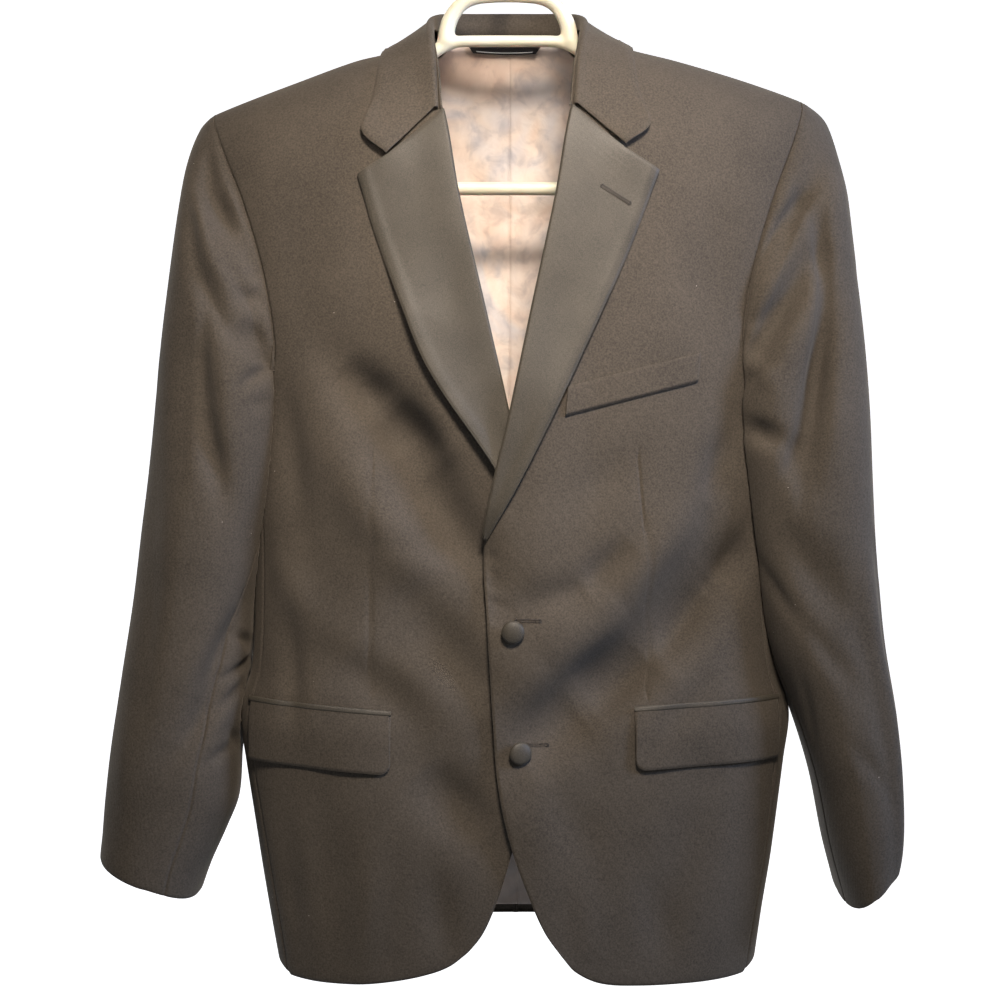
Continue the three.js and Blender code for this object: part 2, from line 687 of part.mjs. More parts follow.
function sideFace(side) {
  const face = [];
  const normals = [];
  for (let j = 0; j <= skirtSteps; j++) {
    face.push([]);
    normals.push([]);
    for (let i = 0; i <= armFootSteps; i++) {
      const share = i / armFootSteps;
      const top = armholeFootZ - 6 * Math.sin(Math.PI * share);
      const hemZ = lerp(side > 0 ? leftHemRows.at(-1).z : rightHemRows.at(-1).z, hemBackZ - 7, share);
      const z = lerp(top, hemZ, j / skirtSteps);
      const across = sidePoint(side, z, share + 0.02).sub(sidePoint(side, z, share - 0.02));
      const down = sidePoint(side, z - 3, share).sub(sidePoint(side, z + 3, share));
      face[j].push(sidePoint(side, z, share));
      normals[j].push(across.cross(down).normalize().multiplyScalar(-side));
    }
  }
  return { face, normals };
}

// Armhole as one loop of points: down the front, under the arm and up the back.
function armholeLoop(side) {
  const front = armholePlaces(side, armholeFrontRows, armFrontShares, 1);
  const back = armholePlaces(side, armholeBackRows, armBackShares, -1);
  const loop = front.map(({ x, w, share }) => ({
    point: onBody(x, w, sleeveProud),
    angle: columnAt(capRows, "share", share, "angle"),
    normal: bodyNormal(x, w),
  }));
  for (let k = 1; k < armFootSteps; k++) {
    const share = k / armFootSteps;
    const z = armholeFootZ - 6 * Math.sin(Math.PI * share);
    const point = clearOfBody(sidePoint(side, z, share), sleeveProud);
    loop.push({ point, angle: lerp(168, 200, share), normal: null });
  }
  for (const { x, w, share } of back.slice(1).reverse()) {
    const angle = 360 - columnAt(capRows, "share", share, "angle") * (160 / 168);
    loop.push({ point: onBody(x, w, sleeveProud), angle, normal: bodyNormal(x, w) });
  }
  return loop;
}

function sleeveSection(rows, angle, z) {
  const columns = ["outer", "inner", "front", "back"];
  const [outer, inner, front, back] = columns.map((column) => columnAt(rows, "z", z, column));
  const turn = THREE.MathUtils.degToRad(angle);
  return {
    x: (outer + inner) / 2 + ((outer - inner) / 2) * signed(Math.cos(turn), 2 / sleeveSquareness),
    y: (front + back) / 2 - ((back - front) / 2) * signed(Math.sin(turn), 2 / sleeveSquareness),
  };
}

// Moves a point of the sleeve that would lie in the body out to its side, with a clearance.
function clearOfBody(point, clearance) {
  const middle = bodyAt(point.z, "middle");
  const half = bodyAt(point.z, "half") + clearance;
  const depth = bodyAt(point.z, point.y < 0 ? "front" : "back") + clearance;
  const reach =
    (Math.abs(point.x - middle) / half) ** sectionPower + (Math.abs(point.y) / depth) ** sectionPower;
  if (reach >= 1) return point;
  const grow = (1 / reach) ** (1 / sectionPower);
  point.x = middle + (point.x - middle) * grow;
  point.y *= grow;
  return point;
}

const sleeveRowsDown = [0, 0.014, 0.034, 0.06, 0.095, 0.14, 0.2, 0.27, 0.35, 0.44, 0.54, 0.64, 0.76, 0.88, 1];

// Whole sleeve as a ring of columns, each from its armhole point down to the cuff.
function sleeveFace(side) {
  const form = side > 0 ? sleeves.left : sleeves.right;
  const folds = (side > 0 ? sleeveFolds.left : sleeveFolds.right).map((fold) => ({
    ...fold,
    u: fold.angle * sleeveArc,
    v: fold.z,
    toU: fold.toAngle * sleeveArc,
    toV: fold.toZ,
  }));
  const loop = armholeLoop(side);
  const lastAngle = 360;
  const seamTurn = (angle, v) => {
    const frontSeam = lerp(form.frontSeam[0], form.frontSeam[1], v);
    const backSeam = lerp(form.backSeam[0], form.backSeam[1], v);
    if (angle <= form.frontSeam[0]) return (angle * frontSeam) / form.frontSeam[0];
    if (angle <= form.backSeam[0]) {
      const share = (angle - form.frontSeam[0]) / (form.backSeam[0] - form.frontSeam[0]);
      return lerp(frontSeam, backSeam, share);
    }
    return lerp(backSeam, lastAngle, (angle - form.backSeam[0]) / (lastAngle - form.backSeam[0]));
  };
  return sleeveRowsDown.map((v) =>
    loop.map(({ point, angle }) => {
      const turned = seamTurn(angle, smooth(v, 0.15, 0.85));
      const turn = THREE.MathUtils.degToRad(turned);
      const cuff = form.cuffZ + form.cuffOutward * Math.cos(turn) + form.cuffForward * Math.sin(turn);
      const z = lerp(point.z, cuff, v);
      const there = sleeveSection(form.rows, turned, z);
      const start = sleeveSection(form.rows, angle, point.z);
      const fallen = point.z - z;
      const reach = lerp(9, 42, Math.abs(Math.sin(THREE.MathUtils.degToRad(angle))));
      const keep = Math.exp(-((fallen / reach) ** 1.4));
      const fold = foldDepth(folds, turned * sleeveArc, z) * smooth(fallen, 6, 40);
      const x = there.x + (side * point.x - start.x) * keep - fold * Math.cos(turn);
      const y = there.y + (point.y - start.y) * keep + fold * Math.sin(turn);
      const placed = new THREE.Vector3(side * x, y, z);
      if (v === 0) return placed;
      const clear = clearOfBody(placed.clone(), Math.min(sleeveClearance, sleeveProud + 0.12 * fallen));
      return placed.lerp(clear, smooth(-z, 370, 404));
    }),
  );
}

function sleevePair(side) {
  const word = side > 0 ? "left" : "right";
  const form = side > 0 ? sleeves.left : sleeves.right;
  const face = sleeveFace(side);
  const loop = armholeLoop(side);
  const normals = faceNormals(face, true).map((row) => row.map((normal) => normal.multiplyScalar(side)));
  const angles = loop.map((column) => column.angle);
  loop.forEach(({ angle, normal }, i) => {
    const share = smooth(Math.cos(THREE.MathUtils.degToRad(angle)), -0.3, 0.3);
    if (share > 0) normals[0][i].lerp(normal, share).normalize();
  });
  const columns = angles.length;
  const frontSeam = angles.findIndex((angle) => angle >= form.frontSeam[0] - 1);
  const backSeam = angles.findIndex((angle) => angle >= form.backSeam[0] - 1);
  const pick = (from, to) => {
    const length = ((to - from + columns) % columns) + 1;
    const order = Array.from({ length }, (_, k) => (from + k) % columns);
    const part = face.map((row) => order.map((i) => row[i]));
    const partNormals = normals.map((row) => order.map((i) => row[i]));
    return { part: drawIn(part, ["first", "last", "top"], sleeveSeamGap / 2), partNormals };
  };
  const under = pick(frontSeam, backSeam);
  const over = pick(backSeam, frontSeam);
  return [
    wallMesh("top_sleeve_" + word, wool, over.part, woolWall, { normals: over.partNormals }),
    wallMesh("under_sleeve_" + word, wool, under.part, woolWall, { normals: under.partNormals }),
  ];
}

// Lapel: from the roll line out to its edge, lying on its front.
function lapelFace(side) {
  const form = side > 0 ? lapels.left : lapels.right;
  const edge = side > 0 ? leftEdgeRows : rightEdgeRows;
  const rows = 16;
  const columns = 6;
  const endZ = form.belly.at(-1).z;
  const face = [];
  for (let j = 0; j <= rows; j++) {
    const v = j / rows;
    const rollZ = lerp(form.gorge.z, endZ + 2, v);
    const rollX = columnAt(edge, "z", rollZ, "x");
    const edgeZ = lerp(form.tip.z, endZ, v ** 1.08);
    const edgeX = columnAt(form.belly, "z", edgeZ, "x");
    const row = [];
    for (let i = 0; i <= columns; i++) {
      const u = i / columns;
      const bend = (1 - v) ** 6;
      const notchShare = (form.notch.x - form.gorge.x) / (form.tip.x - form.gorge.x);
      const topZ =
        u < notchShare
          ? lerp(form.gorge.z, form.notch.z, u / notchShare)
          : lerp(form.notch.z, form.tip.z, (u - notchShare) / (1 - notchShare));
      const x = lerp(rollX, Math.max(edgeX, rollX + 1.5), u);
      const z = lerp(rollZ, edgeZ, u) + bend * (topZ - lerp(form.gorge.z, form.tip.z, u));
      const roll = 3.2 * Math.exp(-((u / 0.3) ** 2)) * (1 - 0.8 * v);
      const lift = frontLift(side, side * x, z) + layerGap + satinWall + roll;
      row.push(onBody(side * x, wayDown(side * x, z), lift));
    }
    face.push(row);
  }
  return face;
}

// Collar: one folded strip from the foot of its stand over the fold line to the edge of the leaf.
function collarFace() {
  const last = collarRows.at(-1).at;
  const steps = 4 * last;
  const foldHalf = 3.2;
  const leafSteps = 4;
  const columns = [];
  for (let k = 0; k <= steps; k++) {
    const along = lerp(-last, last, k / steps);
    const side = along < 0 ? -1 : 1;
    const value = (column) => columnAt(collarRows, "at", Math.abs(along), column);
    const shift = collarMiddleX * smooth(Math.abs(along), 3, 6);
    const fall = side * collarFall * smooth(Math.abs(along), 6, last);
    const fold = new THREE.Vector3(side * value("foldX") + shift, value("foldY"), value("foldZ") + fall);
    const stand = new THREE.Vector3(side * value("standX") + shift, 0, value("standZ") + fall);
    const edge = { x: side * value("edgeX") + shift, w: value("edgeW") - fall / 1.5 };
    const cut = collarEndSlope * smooth(Math.abs(along), 6.5, last);
    const lift = layerGap + collarWall;
    const edgePoint = onBody(edge.x, edge.w, lift);
    const out = edgePoint.clone().sub(fold).setZ(0).normalize();
    stand.y = fold.y;
    stand.addScaledVector(out, -foldHalf);
    const column = [stand.clone(), stand.clone().lerp(fold.clone().addScaledVector(out, -foldHalf), 0.55)];
    for (const turn of [180, 135, 90, 45]) {
      const angle = THREE.MathUtils.degToRad(turn);
      const rise = foldHalf * Math.sin(angle) - foldHalf;
      const slant = cut * foldHalf * (1 + Math.cos(angle));
      column.push(fold.clone().addScaledVector(out, foldHalf * Math.cos(angle)).setZ(fold.z + rise - slant));
    }
    const leafTop = fold.clone().addScaledVector(out, foldHalf).setZ(fold.z - (1 + 2 * cut) * foldHalf);
    for (let i = 0; i <= leafSteps; i++) {
      const share = i / leafSteps;
      const point = leafTop.clone().lerp(edgePoint, share);
      const belly = 1.5 * Math.sin(Math.PI * share);
      column.push(clearOfShoulder(point.addScaledVector(out, belly), lift));
    }
    columns.push(column);
  }
  return columns[0].map((_, j) => columns.map((column) => column[j]));
}

// Lifts a point of the collar that would lie in the body form out to the given height above it.
function clearOfShoulder(point, lift) {
  const face = point.y < 0 ? 1 : -1;
  if (point.z > ridgeZ(point.x)) return point;
  const under = bodyPoint(point.x, wayDown(point.x, point.z, face));
  const normal = bodyNormal(point.x, wayDown(point.x, point.z, face));
  const height = point.clone().sub(under).dot(normal);
  if (height >= lift) return point;
  return point.addScaledVector(normal, lift - height);
}

// Pieces that lie on a front: rows go down from a top line, `deep` long.
function patchFace(line, deep, lift, { columns = 8, rows = 3, lean = 0, corner = 0 } = {}) {
  const long = Math.abs(line.toX - line.x);
  const turns = corner ? [0, 30, 60] : [];
  const arc = turns.map((turn) => corner * (1 - Math.cos(THREE.MathUtils.degToRad(turn))));
  const evenly = Array.from({ length: columns + 1 }, (_, i) => lerp(corner, long, i / columns));
  const face = [];
  for (let j = 0; j <= rows; j++) {
    const v = j / rows;
    face.push(
      [...arc, ...evenly].map((along) => {
        const u = along / long;
        const x = lerp(line.x, line.toX, u) + lean * v;
        const cut = along < corner ? corner - Math.sqrt(corner ** 2 - (corner - along) ** 2) : 0;
        const z = lerp(line.z, line.toZ, u) - (deep - cut) * v;
        return onBody(x, wayDown(x, z), frontLift(Math.sign(x), x, z) + lift);
      }),
    );
  }
  return face;
}

function pocketMeshes(side) {
  const word = side > 0 ? "left" : "right";
  const line = side > 0 ? pockets.left : pockets.right;
  const lift = layerGap + satinWall;
  const jet = patchFace(line, jetHigh, lift - 0.3, { columns: 9, rows: 1 });
  const flapLine = { ...line, z: line.z - jetHigh - 0.5, toZ: line.toZ - jetHigh - 0.5 };
  const flap = patchFace(flapLine, flapDeep, lift + 0.1, { columns: 8, rows: 3, corner: flapCorner });
  return [
    wallMesh("jet_" + word, satin, jet, satinWall, { out: -side }),
    wallMesh("flap_" + word, wool, flap, woolWall, { out: -side }),
  ];
}

function weltMesh() {
  const face = patchFace(welt, welt.deep, layerGap + woolWall, { columns: 8, rows: 2, lean: -welt.lean });
  return wallMesh("breast_welt", wool, face, woolWall, { out: -1 });
}

const liningGapAt = (z) => lerp(liningTopGap, liningGap, smooth(-z, 140, 300));

// Back lining of one side, hung just inside the back panel.
function liningFace(side) {
  const columns = 6;
  const rows = 16;
  const face = [];
  for (let j = 0; j <= rows; j++) {
    const row = [];
    for (let i = 0; i <= columns; i++) {
      const topZ = neckBackZ - 11 * smooth(i / columns, 0.5, 1);
      const z = lerp(topZ, liningHemZ, j / rows);
      const middle = liningSeamX + bodyAt(z, "middle") * smooth(-z, 400, 560);
      const reach = j === 0 ? 50 : lerp(50, 176, smooth(-z, 114, 190));
      const x = lerp(middle, side * reach, i / columns);
      row.push(onBody(x, wayDown(x, z, -1), -(woolWall + liningGapAt(z))));
    }
    face.push(row);
  }
  return face;
}

function labelFace() {
  const top = { half: 36, z: -111.4 };
  const bottom = { half: 29, z: -118.8 };
  const columns = 6;
  return [top, bottom].map(({ half, z }) =>
    Array.from({ length: columns + 1 }, (_, i) => {
      const x = lerp(-half, half, i / columns) + labelMiddleX;
      return onBody(x, wayDown(x, z, -1), -(woolWall + liningTopGap + liningWall + 1.4));
    }),
  );
}

// Satin covered button: a domed disc with a short shank behind it, facing forward.
function buttonMesh({ name, x, z, tilt }) {
  const rim = buttonThick * 0.45;
  const profile = [
    [0, 0],
    [shankRadius, 0],
    [shankRadius, shankLong],
    [buttonRadius * 0.8, shankLong],
    [buttonRadius, shankLong + rim * 0.6],
    [buttonRadius * 0.97, shankLong + rim],
    [buttonRadius * 0.72, shankLong + buttonThick * 0.86],
    [buttonRadius * 0.36, shankLong + buttonThick * 0.98],
    [0, shankLong + buttonThick],
  ].map(([r, h]) => new THREE.Vector2(r, h));
  const mesh = named(name, satin, new THREE.LatheGeometry(profile, 18));
  const raise = 0.7 + shankRadius * Math.sin(tilt);
  mesh.position.copy(onBody(x, wayDown(x, z), frontLift(1, x, z) + raise));
  mesh.rotation.set(Math.PI, 0, tilt);
  return mesh;
}

// Hanger pieces are round bars along a path, joined to one solid.
function barAlong(points, radius, steps, tension = 0.5) {
  const path = new THREE.CatmullRomCurve3(points, false, "catmullrom", tension);
  const ring = new THREE.Shape().absarc(0, 0, radius, 0, Math.PI * 2, false);
  return new THREE.ExtrudeGeometry(ring, { steps, curveSegments: 4, extrudePath: path, bevelEnabled: false });
}

function solidOf(geometry) {
  geometry.deleteAttribute("normal");
  geometry.deleteAttribute("uv");
  const merged = mergeVertices(geometry, 1e-4);
  return new wasm.Manifold(
    new wasm.Mesh({
      numProp: 3,
      vertProperties: merged.attributes.position.array,
      triVerts: new Uint32Array(merged.index.array),
    }),
  );
}

function joined(name, material, geometries) {
  const solid = geometries.map(solidOf).reduce((a, b) => a.add(b));
  const { vertProperties, triVerts } = solid.getMesh();
  return closedMesh(name, material, Array.from(vertProperties), Array.from(triVerts));
}

const at = (x, z) => new THREE.Vector3(x, 0, z);

function hangerFrame() {
  const armZ = (x) => Math.min(ridgeZ(x), ridgeZ(-x)) - armBelow;
  const half = [
    at(20, neckBarZ),
    at(neckBarHalf, neckBarZ),
    at(neckBarHalf + 11, neckBarZ - 5.6),
    at(neckBarHalf + 20, armZ(neckBarHalf + 20) - 2.6),
    at(80, armZ(80)),
    at(118, armZ(118)),
    at(160, armZ(160)),
    at(armTip.x - 10, armZ(armTip.x - 10)),
    at(armTip.x + 5, armTip.z - 7),
    at(armTip.x + 5, armTip.z - 22),
    at(armTip.x - 7, lerp(armTip.z, trouserBarZ, 0.66)),
    at(armTip.x - 26, trouserBarZ + 2),
    at(armTip.x - 38, trouserBarZ),
  ];
  const mirrored = half.map((point) => at(-point.x, point.z)).reverse();
  const trouserBar = new THREE.CylinderGeometry(trouserBarRadius, trouserBarRadius, 2 * (armTip.x - 32), 12);
  trouserBar.rotateZ(Math.PI / 2);
  trouserBar.translate(0, 0, trouserBarZ);
  const arch = [
    at(-archFootHalf - 1.5, neckBarZ + 1),
    at(-archFootHalf, -112),
    at(-lerp(archTopHalf, archFootHalf, 0.62), -99),
    at(-archTopHalf - 4, -89),
    at(-archTopHalf + 9, archTopZ - 1.2),
    at(0, archTopZ),
  ];
  const archRight = arch.slice(0, -1).map((point) => at(-point.x, point.z)).reverse();
  return joined("hanger_frame", plastic, [
    barAlong([...mirrored, ...half], frameRadius, 44),
    barAlong([...arch, ...archRight], archRadius, 22),
    trouserBar,
  ]);
}

function hangerHook() {
  const bend = hookInner + hookRadius;
  const middleZ = -hookInner;
  const points = [at(0, stemFootZ), at(0, stemFootZ + 8), at(0, stemFootZ + 16)];
  for (const turn of [-48, -20, 10, 40, 70, 100, 130, 160, 190, 212]) {
    const angle = THREE.MathUtils.degToRad(turn);
    points.push(at(bend * Math.cos(angle), middleZ + bend * Math.sin(angle)));
  }
  return named("hanger_hook", plastic, barAlong(points, hookRadius, 28));
}

// Materials: plain colours of the cloth and the plastic
const plain = (color, roughness) => new THREE.MeshStandardMaterial({ color, roughness, metalness: 0 });
const wool = plain(0x3a332c, 0.85);
const satin = plain(0x4c453c, 0.55);
const lining = plain(0xbcb0a6, 0.5);
const labelCloth = plain(0x17171a, 0.6);
const plastic = plain(0xf6f2de, 0.4);

function frontMesh(side) {
  const places = frontPlaces(side);
  const face = drawIn(placesToFace(places, (x, z) => frontLift(side, x, z)), ["top", "last"]);
  const normals = placesToNormals(places);
  return wallMesh(side > 0 ? "front_left" : "front_right", wool, face, woolWall, { normals });
}

function backMesh(side) {
  const places = backPlaces(side);
  const face = drawIn(placesToFace(places, () => 0), ["top", "first", "last"]);
  const normals = placesToNormals(places);
  return wallMesh(side > 0 ? "back_left" : "back_right", wool, face, woolWall, { normals });
}

function sideMesh(side) {
  const { face, normals } = sideFace(side);
  const seams = drawIn(face, ["top", "first", "last"]);
  return wallMesh(side > 0 ? "side_left" : "side_right", wool, seams, woolWall, { normals });
}

function lapelMesh(side) {
  return wallMesh(side > 0 ? "lapel_left" : "lapel_right", satin, lapelFace(side), satinWall, { out: -side });
}

function liningMesh(side) {
  const face = drawIn(liningFace(side), ["first"]);
  return wallMesh(side > 0 ? "lining_left" : "lining_right", lining, face, liningWall, { out: side });
}

const jacket = new THREE.Group();
for (const side of [1, -1]) {
  jacket.add(frontMesh(side), sideMesh(side), backMesh(side), ...sleevePair(side));
  jacket.add(lapelMesh(side), ...pocketMeshes(side), liningMesh(side));
}
jacket.add(wallMesh("collar", wool, collarFace(), collarWall));
jacket.add(weltMesh(), wallMesh("label", labelCloth, labelFace(), 0.8, { out: 1 }));
jacket.add(...buttonPlaces.map(buttonMesh));

const hanger = new THREE.Group();
hanger.add(hangerFrame(), hangerHook());

const whole = new THREE.Group();
whole.add(jacket, hanger);

export default whole;
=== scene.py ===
# Dinner jacket on a plastic hanger: the cloth, its folds and its sewing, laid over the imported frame.
# Sizes are in millimetres until a mesh is made; blender's own unit is the metre.
import math

import bmesh
import bpy
import numpy as np
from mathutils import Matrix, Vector


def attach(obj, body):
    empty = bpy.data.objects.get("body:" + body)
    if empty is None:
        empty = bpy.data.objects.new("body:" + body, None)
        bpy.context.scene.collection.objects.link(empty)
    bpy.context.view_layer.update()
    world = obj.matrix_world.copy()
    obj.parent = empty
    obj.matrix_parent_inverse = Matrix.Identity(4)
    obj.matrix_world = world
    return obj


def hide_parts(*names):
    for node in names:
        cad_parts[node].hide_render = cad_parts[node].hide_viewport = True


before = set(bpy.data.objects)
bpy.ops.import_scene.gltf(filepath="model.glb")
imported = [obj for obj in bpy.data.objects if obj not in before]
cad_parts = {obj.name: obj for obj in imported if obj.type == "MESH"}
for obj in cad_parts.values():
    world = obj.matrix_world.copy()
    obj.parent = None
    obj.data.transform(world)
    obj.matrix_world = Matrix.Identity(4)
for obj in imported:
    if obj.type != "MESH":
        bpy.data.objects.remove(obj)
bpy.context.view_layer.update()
scene = bpy.context.scene
mm = 0.001

# camera, level with the middle of the jacket
camera = {"place": (-6.5, -1370, -503), "lens": 59.26, "sensor": 36, "near": 50}
cameraData = bpy.data.cameras.new("camera")
cameraData.lens = camera["lens"]
cameraData.sensor_width = camera["sensor"]
cameraData.clip_start = camera["near"] * mm
cameraObject = bpy.data.objects.new("camera", cameraData)
cameraObject.location = [value * mm for value in camera["place"]]
cameraObject.rotation_euler = (math.radians(90), 0, 0)
scene.collection.objects.link(cameraObject)
scene.camera = cameraObject
print("camera placed")


# tables and smooth curves through them
def columnAt(rows, key, at, column):
    keys = np.array(rows[key], float)
    values = np.array(rows[column], float)
    if keys[-1] < keys[0]:
        keys, values = keys[::-1], values[::-1]
    last = len(keys) - 1
    before = np.maximum(np.arange(last + 1) - 1, 0)
    after = np.minimum(np.arange(last + 1) + 1, last)
    slope = (values[after] - values[before]) / (keys[after] - keys[before])
    at = np.asarray(at, float)
    i = np.clip(np.searchsorted(keys, at, side="right") - 1, 0, last - 1)
    span = keys[i + 1] - keys[i]
    t = np.clip((at - keys[i]) / span, 0, 1)
    start = (2 * t**3 - 3 * t**2 + 1) * values[i] + (t**3 - 2 * t**2 + t) * span * slope[i]
    end = (3 * t**2 - 2 * t**3) * values[i + 1] + (t**3 - t**2) * span * slope[i + 1]
    return start + end


# the place that is t of the way from a to b
def lerp(a, b, t):
    return a + (b - a) * t


# a soft step from 0 at start to 1 at end
def smooth(x, start, end):
    t = np.clip((np.asarray(x, float) - start) / (end - start), 0, 1)
    return t * t * (3 - 2 * t)


def signedPower(value, power):
    return np.sign(value) * np.abs(value) ** power


def point(x, y, z):
    x, y, z = np.broadcast_arrays(np.asarray(x, float), y, z)
    return np.stack([x, y, z], axis=-1)


def unit(vectors):
    return vectors / np.maximum(np.linalg.norm(vectors, axis=-1, keepdims=True), 1e-9)


# the body's form, the same as the solids have
body = {
    "sectionPower": 2.5,
    "ridgePower": 2.2,
    "ridgeDrop": 130,
    "shoulderSeam": 18,
    "armholeTopX": 243,
    "armholeFootZ": -411,
    "sideSeam": 0.955,
    "backSeam": 0.915,
    "overlap": 6.8,
    "hemBackZ": -861,
    "hemSideDrop": 7,
    "neckBackZ": -114,
    "neckPointX": 66,
    "creaseGain": {"front": 2.15, "back": 1.5},
    "creaseEnd": (4, 26),
    "rows": {
        "z": [-80, -180, -230, -280, -330, -390, -430, -500, -580, -640, -675, -715, -791, -842, -890],
        "half": [300, 282, 262, 245, 230, 219, 216, 214, 213, 217, 227, 223, 212, 203, 195],
        "front": [74, 76, 78, 80, 80, 78, 76, 71, 68, 69, 70, 70, 69, 67, 65],
        "back": [64, 70, 73, 74, 74, 72, 69, 62, 58, 61, 64, 65, 64, 62, 60],
        "middle": [3, 3, 2, 1, 0, 1, 3, 4, 4, 5, 5, 5, 7, 7, 7],
    },
    "ridge": {
        "x": [-262, -243, -215, -171, -125, -100, -60, 0, 60, 100, 138, 193, 243, 262],
        "z": [
            -192, -183.5, -172.5, -156.3, -139.8, -133.8, -120.5,
            -94, -118, -130.3, -139.6, -155.6, -172.8, -182,
        ],
    },
}
wallSizes = {"wool": 1.8, "sleeve": 1.2, "satin": 1.5, "lining": 1.0, "collar": 1.5, "layerGap": 1.1}

# soft folds: from a place to a place on the cloth, how wide, and how deep where deep is positive
bodyFolds = {
    "front": [
        (186, -487, 112, -597, 24, 7),
        (112, -597, 10, -690, 24, 7),
        (120, -500, 20, -612, 24, -4),
        (150, -610, 60, -700, 26, -3),
        (-105, -405, -52, -505, 24, 5),
        (-150, -440, -100, -540, 28, -3),
        (-40, -560, -120, -655, 24, 4),
        (-78, -725, -24, -775, 22, 4),
        (-165, -250, -158, -375, 26, 3),
        (165, -250, 158, -375, 26, 3),
        (150, -745, 120, -860, 20, 4),
        (-150, -745, -135, -860, 20, 4),
    ],
    "back": [
        (170, -300, 60, -470, 24, 5),
        (-170, -310, -70, -460, 22, 5),
        (130, -520, 30, -580, 22, 5),
        (-140, -505, -40, -590, 24, 5),
        (90, -660, 75, -850, 26, 5),
        (-100, -650, -80, -850, 24, 5),
        (0, -180, 0, -300, 30, 3),
    ],
}
# finer creases that the cloth has on top of them
bodyCreases = {
    "front": [
        (196, -534, 158, -576, 17, 4.5),
        (168, -566, 112, -628, 23, 8.5),
        (118, -622, 54, -668, 24, 8.5),
        (62, -664, 8, -706, 24, 7.0),
        (150, -508, 84, -578, 20, -4.2),
        (96, -590, 30, -634, 22, -3.6),
        (98, -537, 60, -571, 13, 3.6),
        (62, -571, 8, -590, 13, 3.0),
        (-134, -396, -96, -436, 18, 6.0),
        (-100, -430, -58, -476, 20, 6.0),
        (-86, -470, -18, -560, 22, 7.5),
        (-130, -480, -64, -570, 22, -3.6),
        (-70, -592, -14, -668, 22, 4.0),
        (-100, -537, -30, -545, 12, 1.2),
        (-60, -420, -40, -475, 14, -1.8),
        (-190, -542, -160, -596, 15, -1.6),
        (-160, -596, -70, -649, 17, -1.6),
        (-130, -628, -60, -690, 22, 3.2),
        (-66, -716, -18, -768, 20, 4.0),
        (-176, -604, -172, -680, 9, 2.2),
        (-17, -548, -8, -551, 3.4, 1.2),
        (-17, -559, -7, -563, 3.2, 1.1),
        (-17, -570, -6, -571, 3.6, 1.0),
        (-17, -583, -3, -588, 3.4, 1.2),
        (-16, -594, -5, -597, 3.0, 0.8),
        (176, -450, 160, -505, 12, 3.0),
        (-178, -420, -168, -520, 12, 2.2),
        (168, -640, 120, -690, 13, 1.4),
        (30, -720, 64, -790, 18, 1.6),
        (110, -800, 130, -870, 16, 1.6),
        (60, -800, 66, -876, 14, -1.2),
        (-60, -800, -48, -868, 14, 1.5),
        (-110, -790, -118, -876, 15, -1.3),
        (-178, -760, -170, -870, 12, 1.4),
        (95, -470, 60, -500, 13, 1.0),
        (-30, -300, -60, -360, 16, 0.8),
    ],
    "back": [
        (160, -330, 96, -400, 10, 2.2),
        (-166, -336, -100, -408, 9, 2.4),
        (120, -545, 60, -574, 9, 2.2),
        (-132, -530, -62, -572, 10, 2.2),
        (60, -600, 20, -618, 9, 1.6),
        (-80, -612, -20, -624, 8, 1.5),
        (150, -600, 110, -640, 12, 1.8),
        (-158, -596, -116, -634, 12, 1.6),
        (40, -250, 60, -330, 14, 1.4),
        (-52, -240, -66, -320, 13, 1.4),
        (120, -700, 108, -840, 14, 1.6),
        (-126, -706, -112, -846, 13, 1.6),
        (30, -690, 24, -840, 15, -1.4),
        (-34, -700, -30, -846, 14, -1.4),
    ],
}


# a ridge with round shoulders, 1 high where the distance is at its middle
def hump(distance, wide, at=0):
    return np.exp(-(((distance - at) / wide) ** 2))


# how deep all the folds are at a place; each one fades towards and past its ends
def foldDepth(folds, u, v):
    depth = np.zeros(np.broadcast(u, v).shape)
    for startU, startV, endU, endV, wide, deep in folds:
        long = math.hypot(endU - startU, endV - startV)
        alongU, alongV = (endU - startU) / long, (endV - startV) / long
        along = (u - startU) * alongU + (v - startV) * alongV
        across = (u - startU) * alongV - (v - startV) * alongU
        inside = np.clip(along, 0, long)
        past = along - inside
        fade = np.sin(math.pi * (0.12 + 0.76 * inside / long))
        depth += deep * fade * np.exp(-((across / wide) ** 2) - (past / (1.6 * wide)) ** 2)
    return depth


# height of the shoulder ridge over x, and a column of the body's sections at a height
def ridgeZ(x):
    return columnAt(body["ridge"], "x", x, "z")


def bodyAt(z, column):
    return columnAt(body["rows"], "z", z, column)


# a place on the body is x and w, the way along the cloth from the shoulder ridge:
# down the front where w is positive, down the back where it is negative
def wayDown(x, z, face=1):
    drop = np.maximum(ridgeZ(x) - z, 0)
    share = np.clip(1 - drop / body["ridgeDrop"], 0, 1)
    near = body["ridgeDrop"] * np.arccos(share ** (body["ridgePower"] / 2)) / (math.pi / 2)
    return face * np.where(drop >= body["ridgeDrop"], drop, near)


def heightAt(x, w):
    way = np.abs(w)
    turn = np.clip(way / body["ridgeDrop"], 0, 1) * (math.pi / 2)
    near = body["ridgeDrop"] * (1 - np.cos(turn) ** (2 / body["ridgePower"]))
    return ridgeZ(x) - np.where(way >= body["ridgeDrop"], way, near)


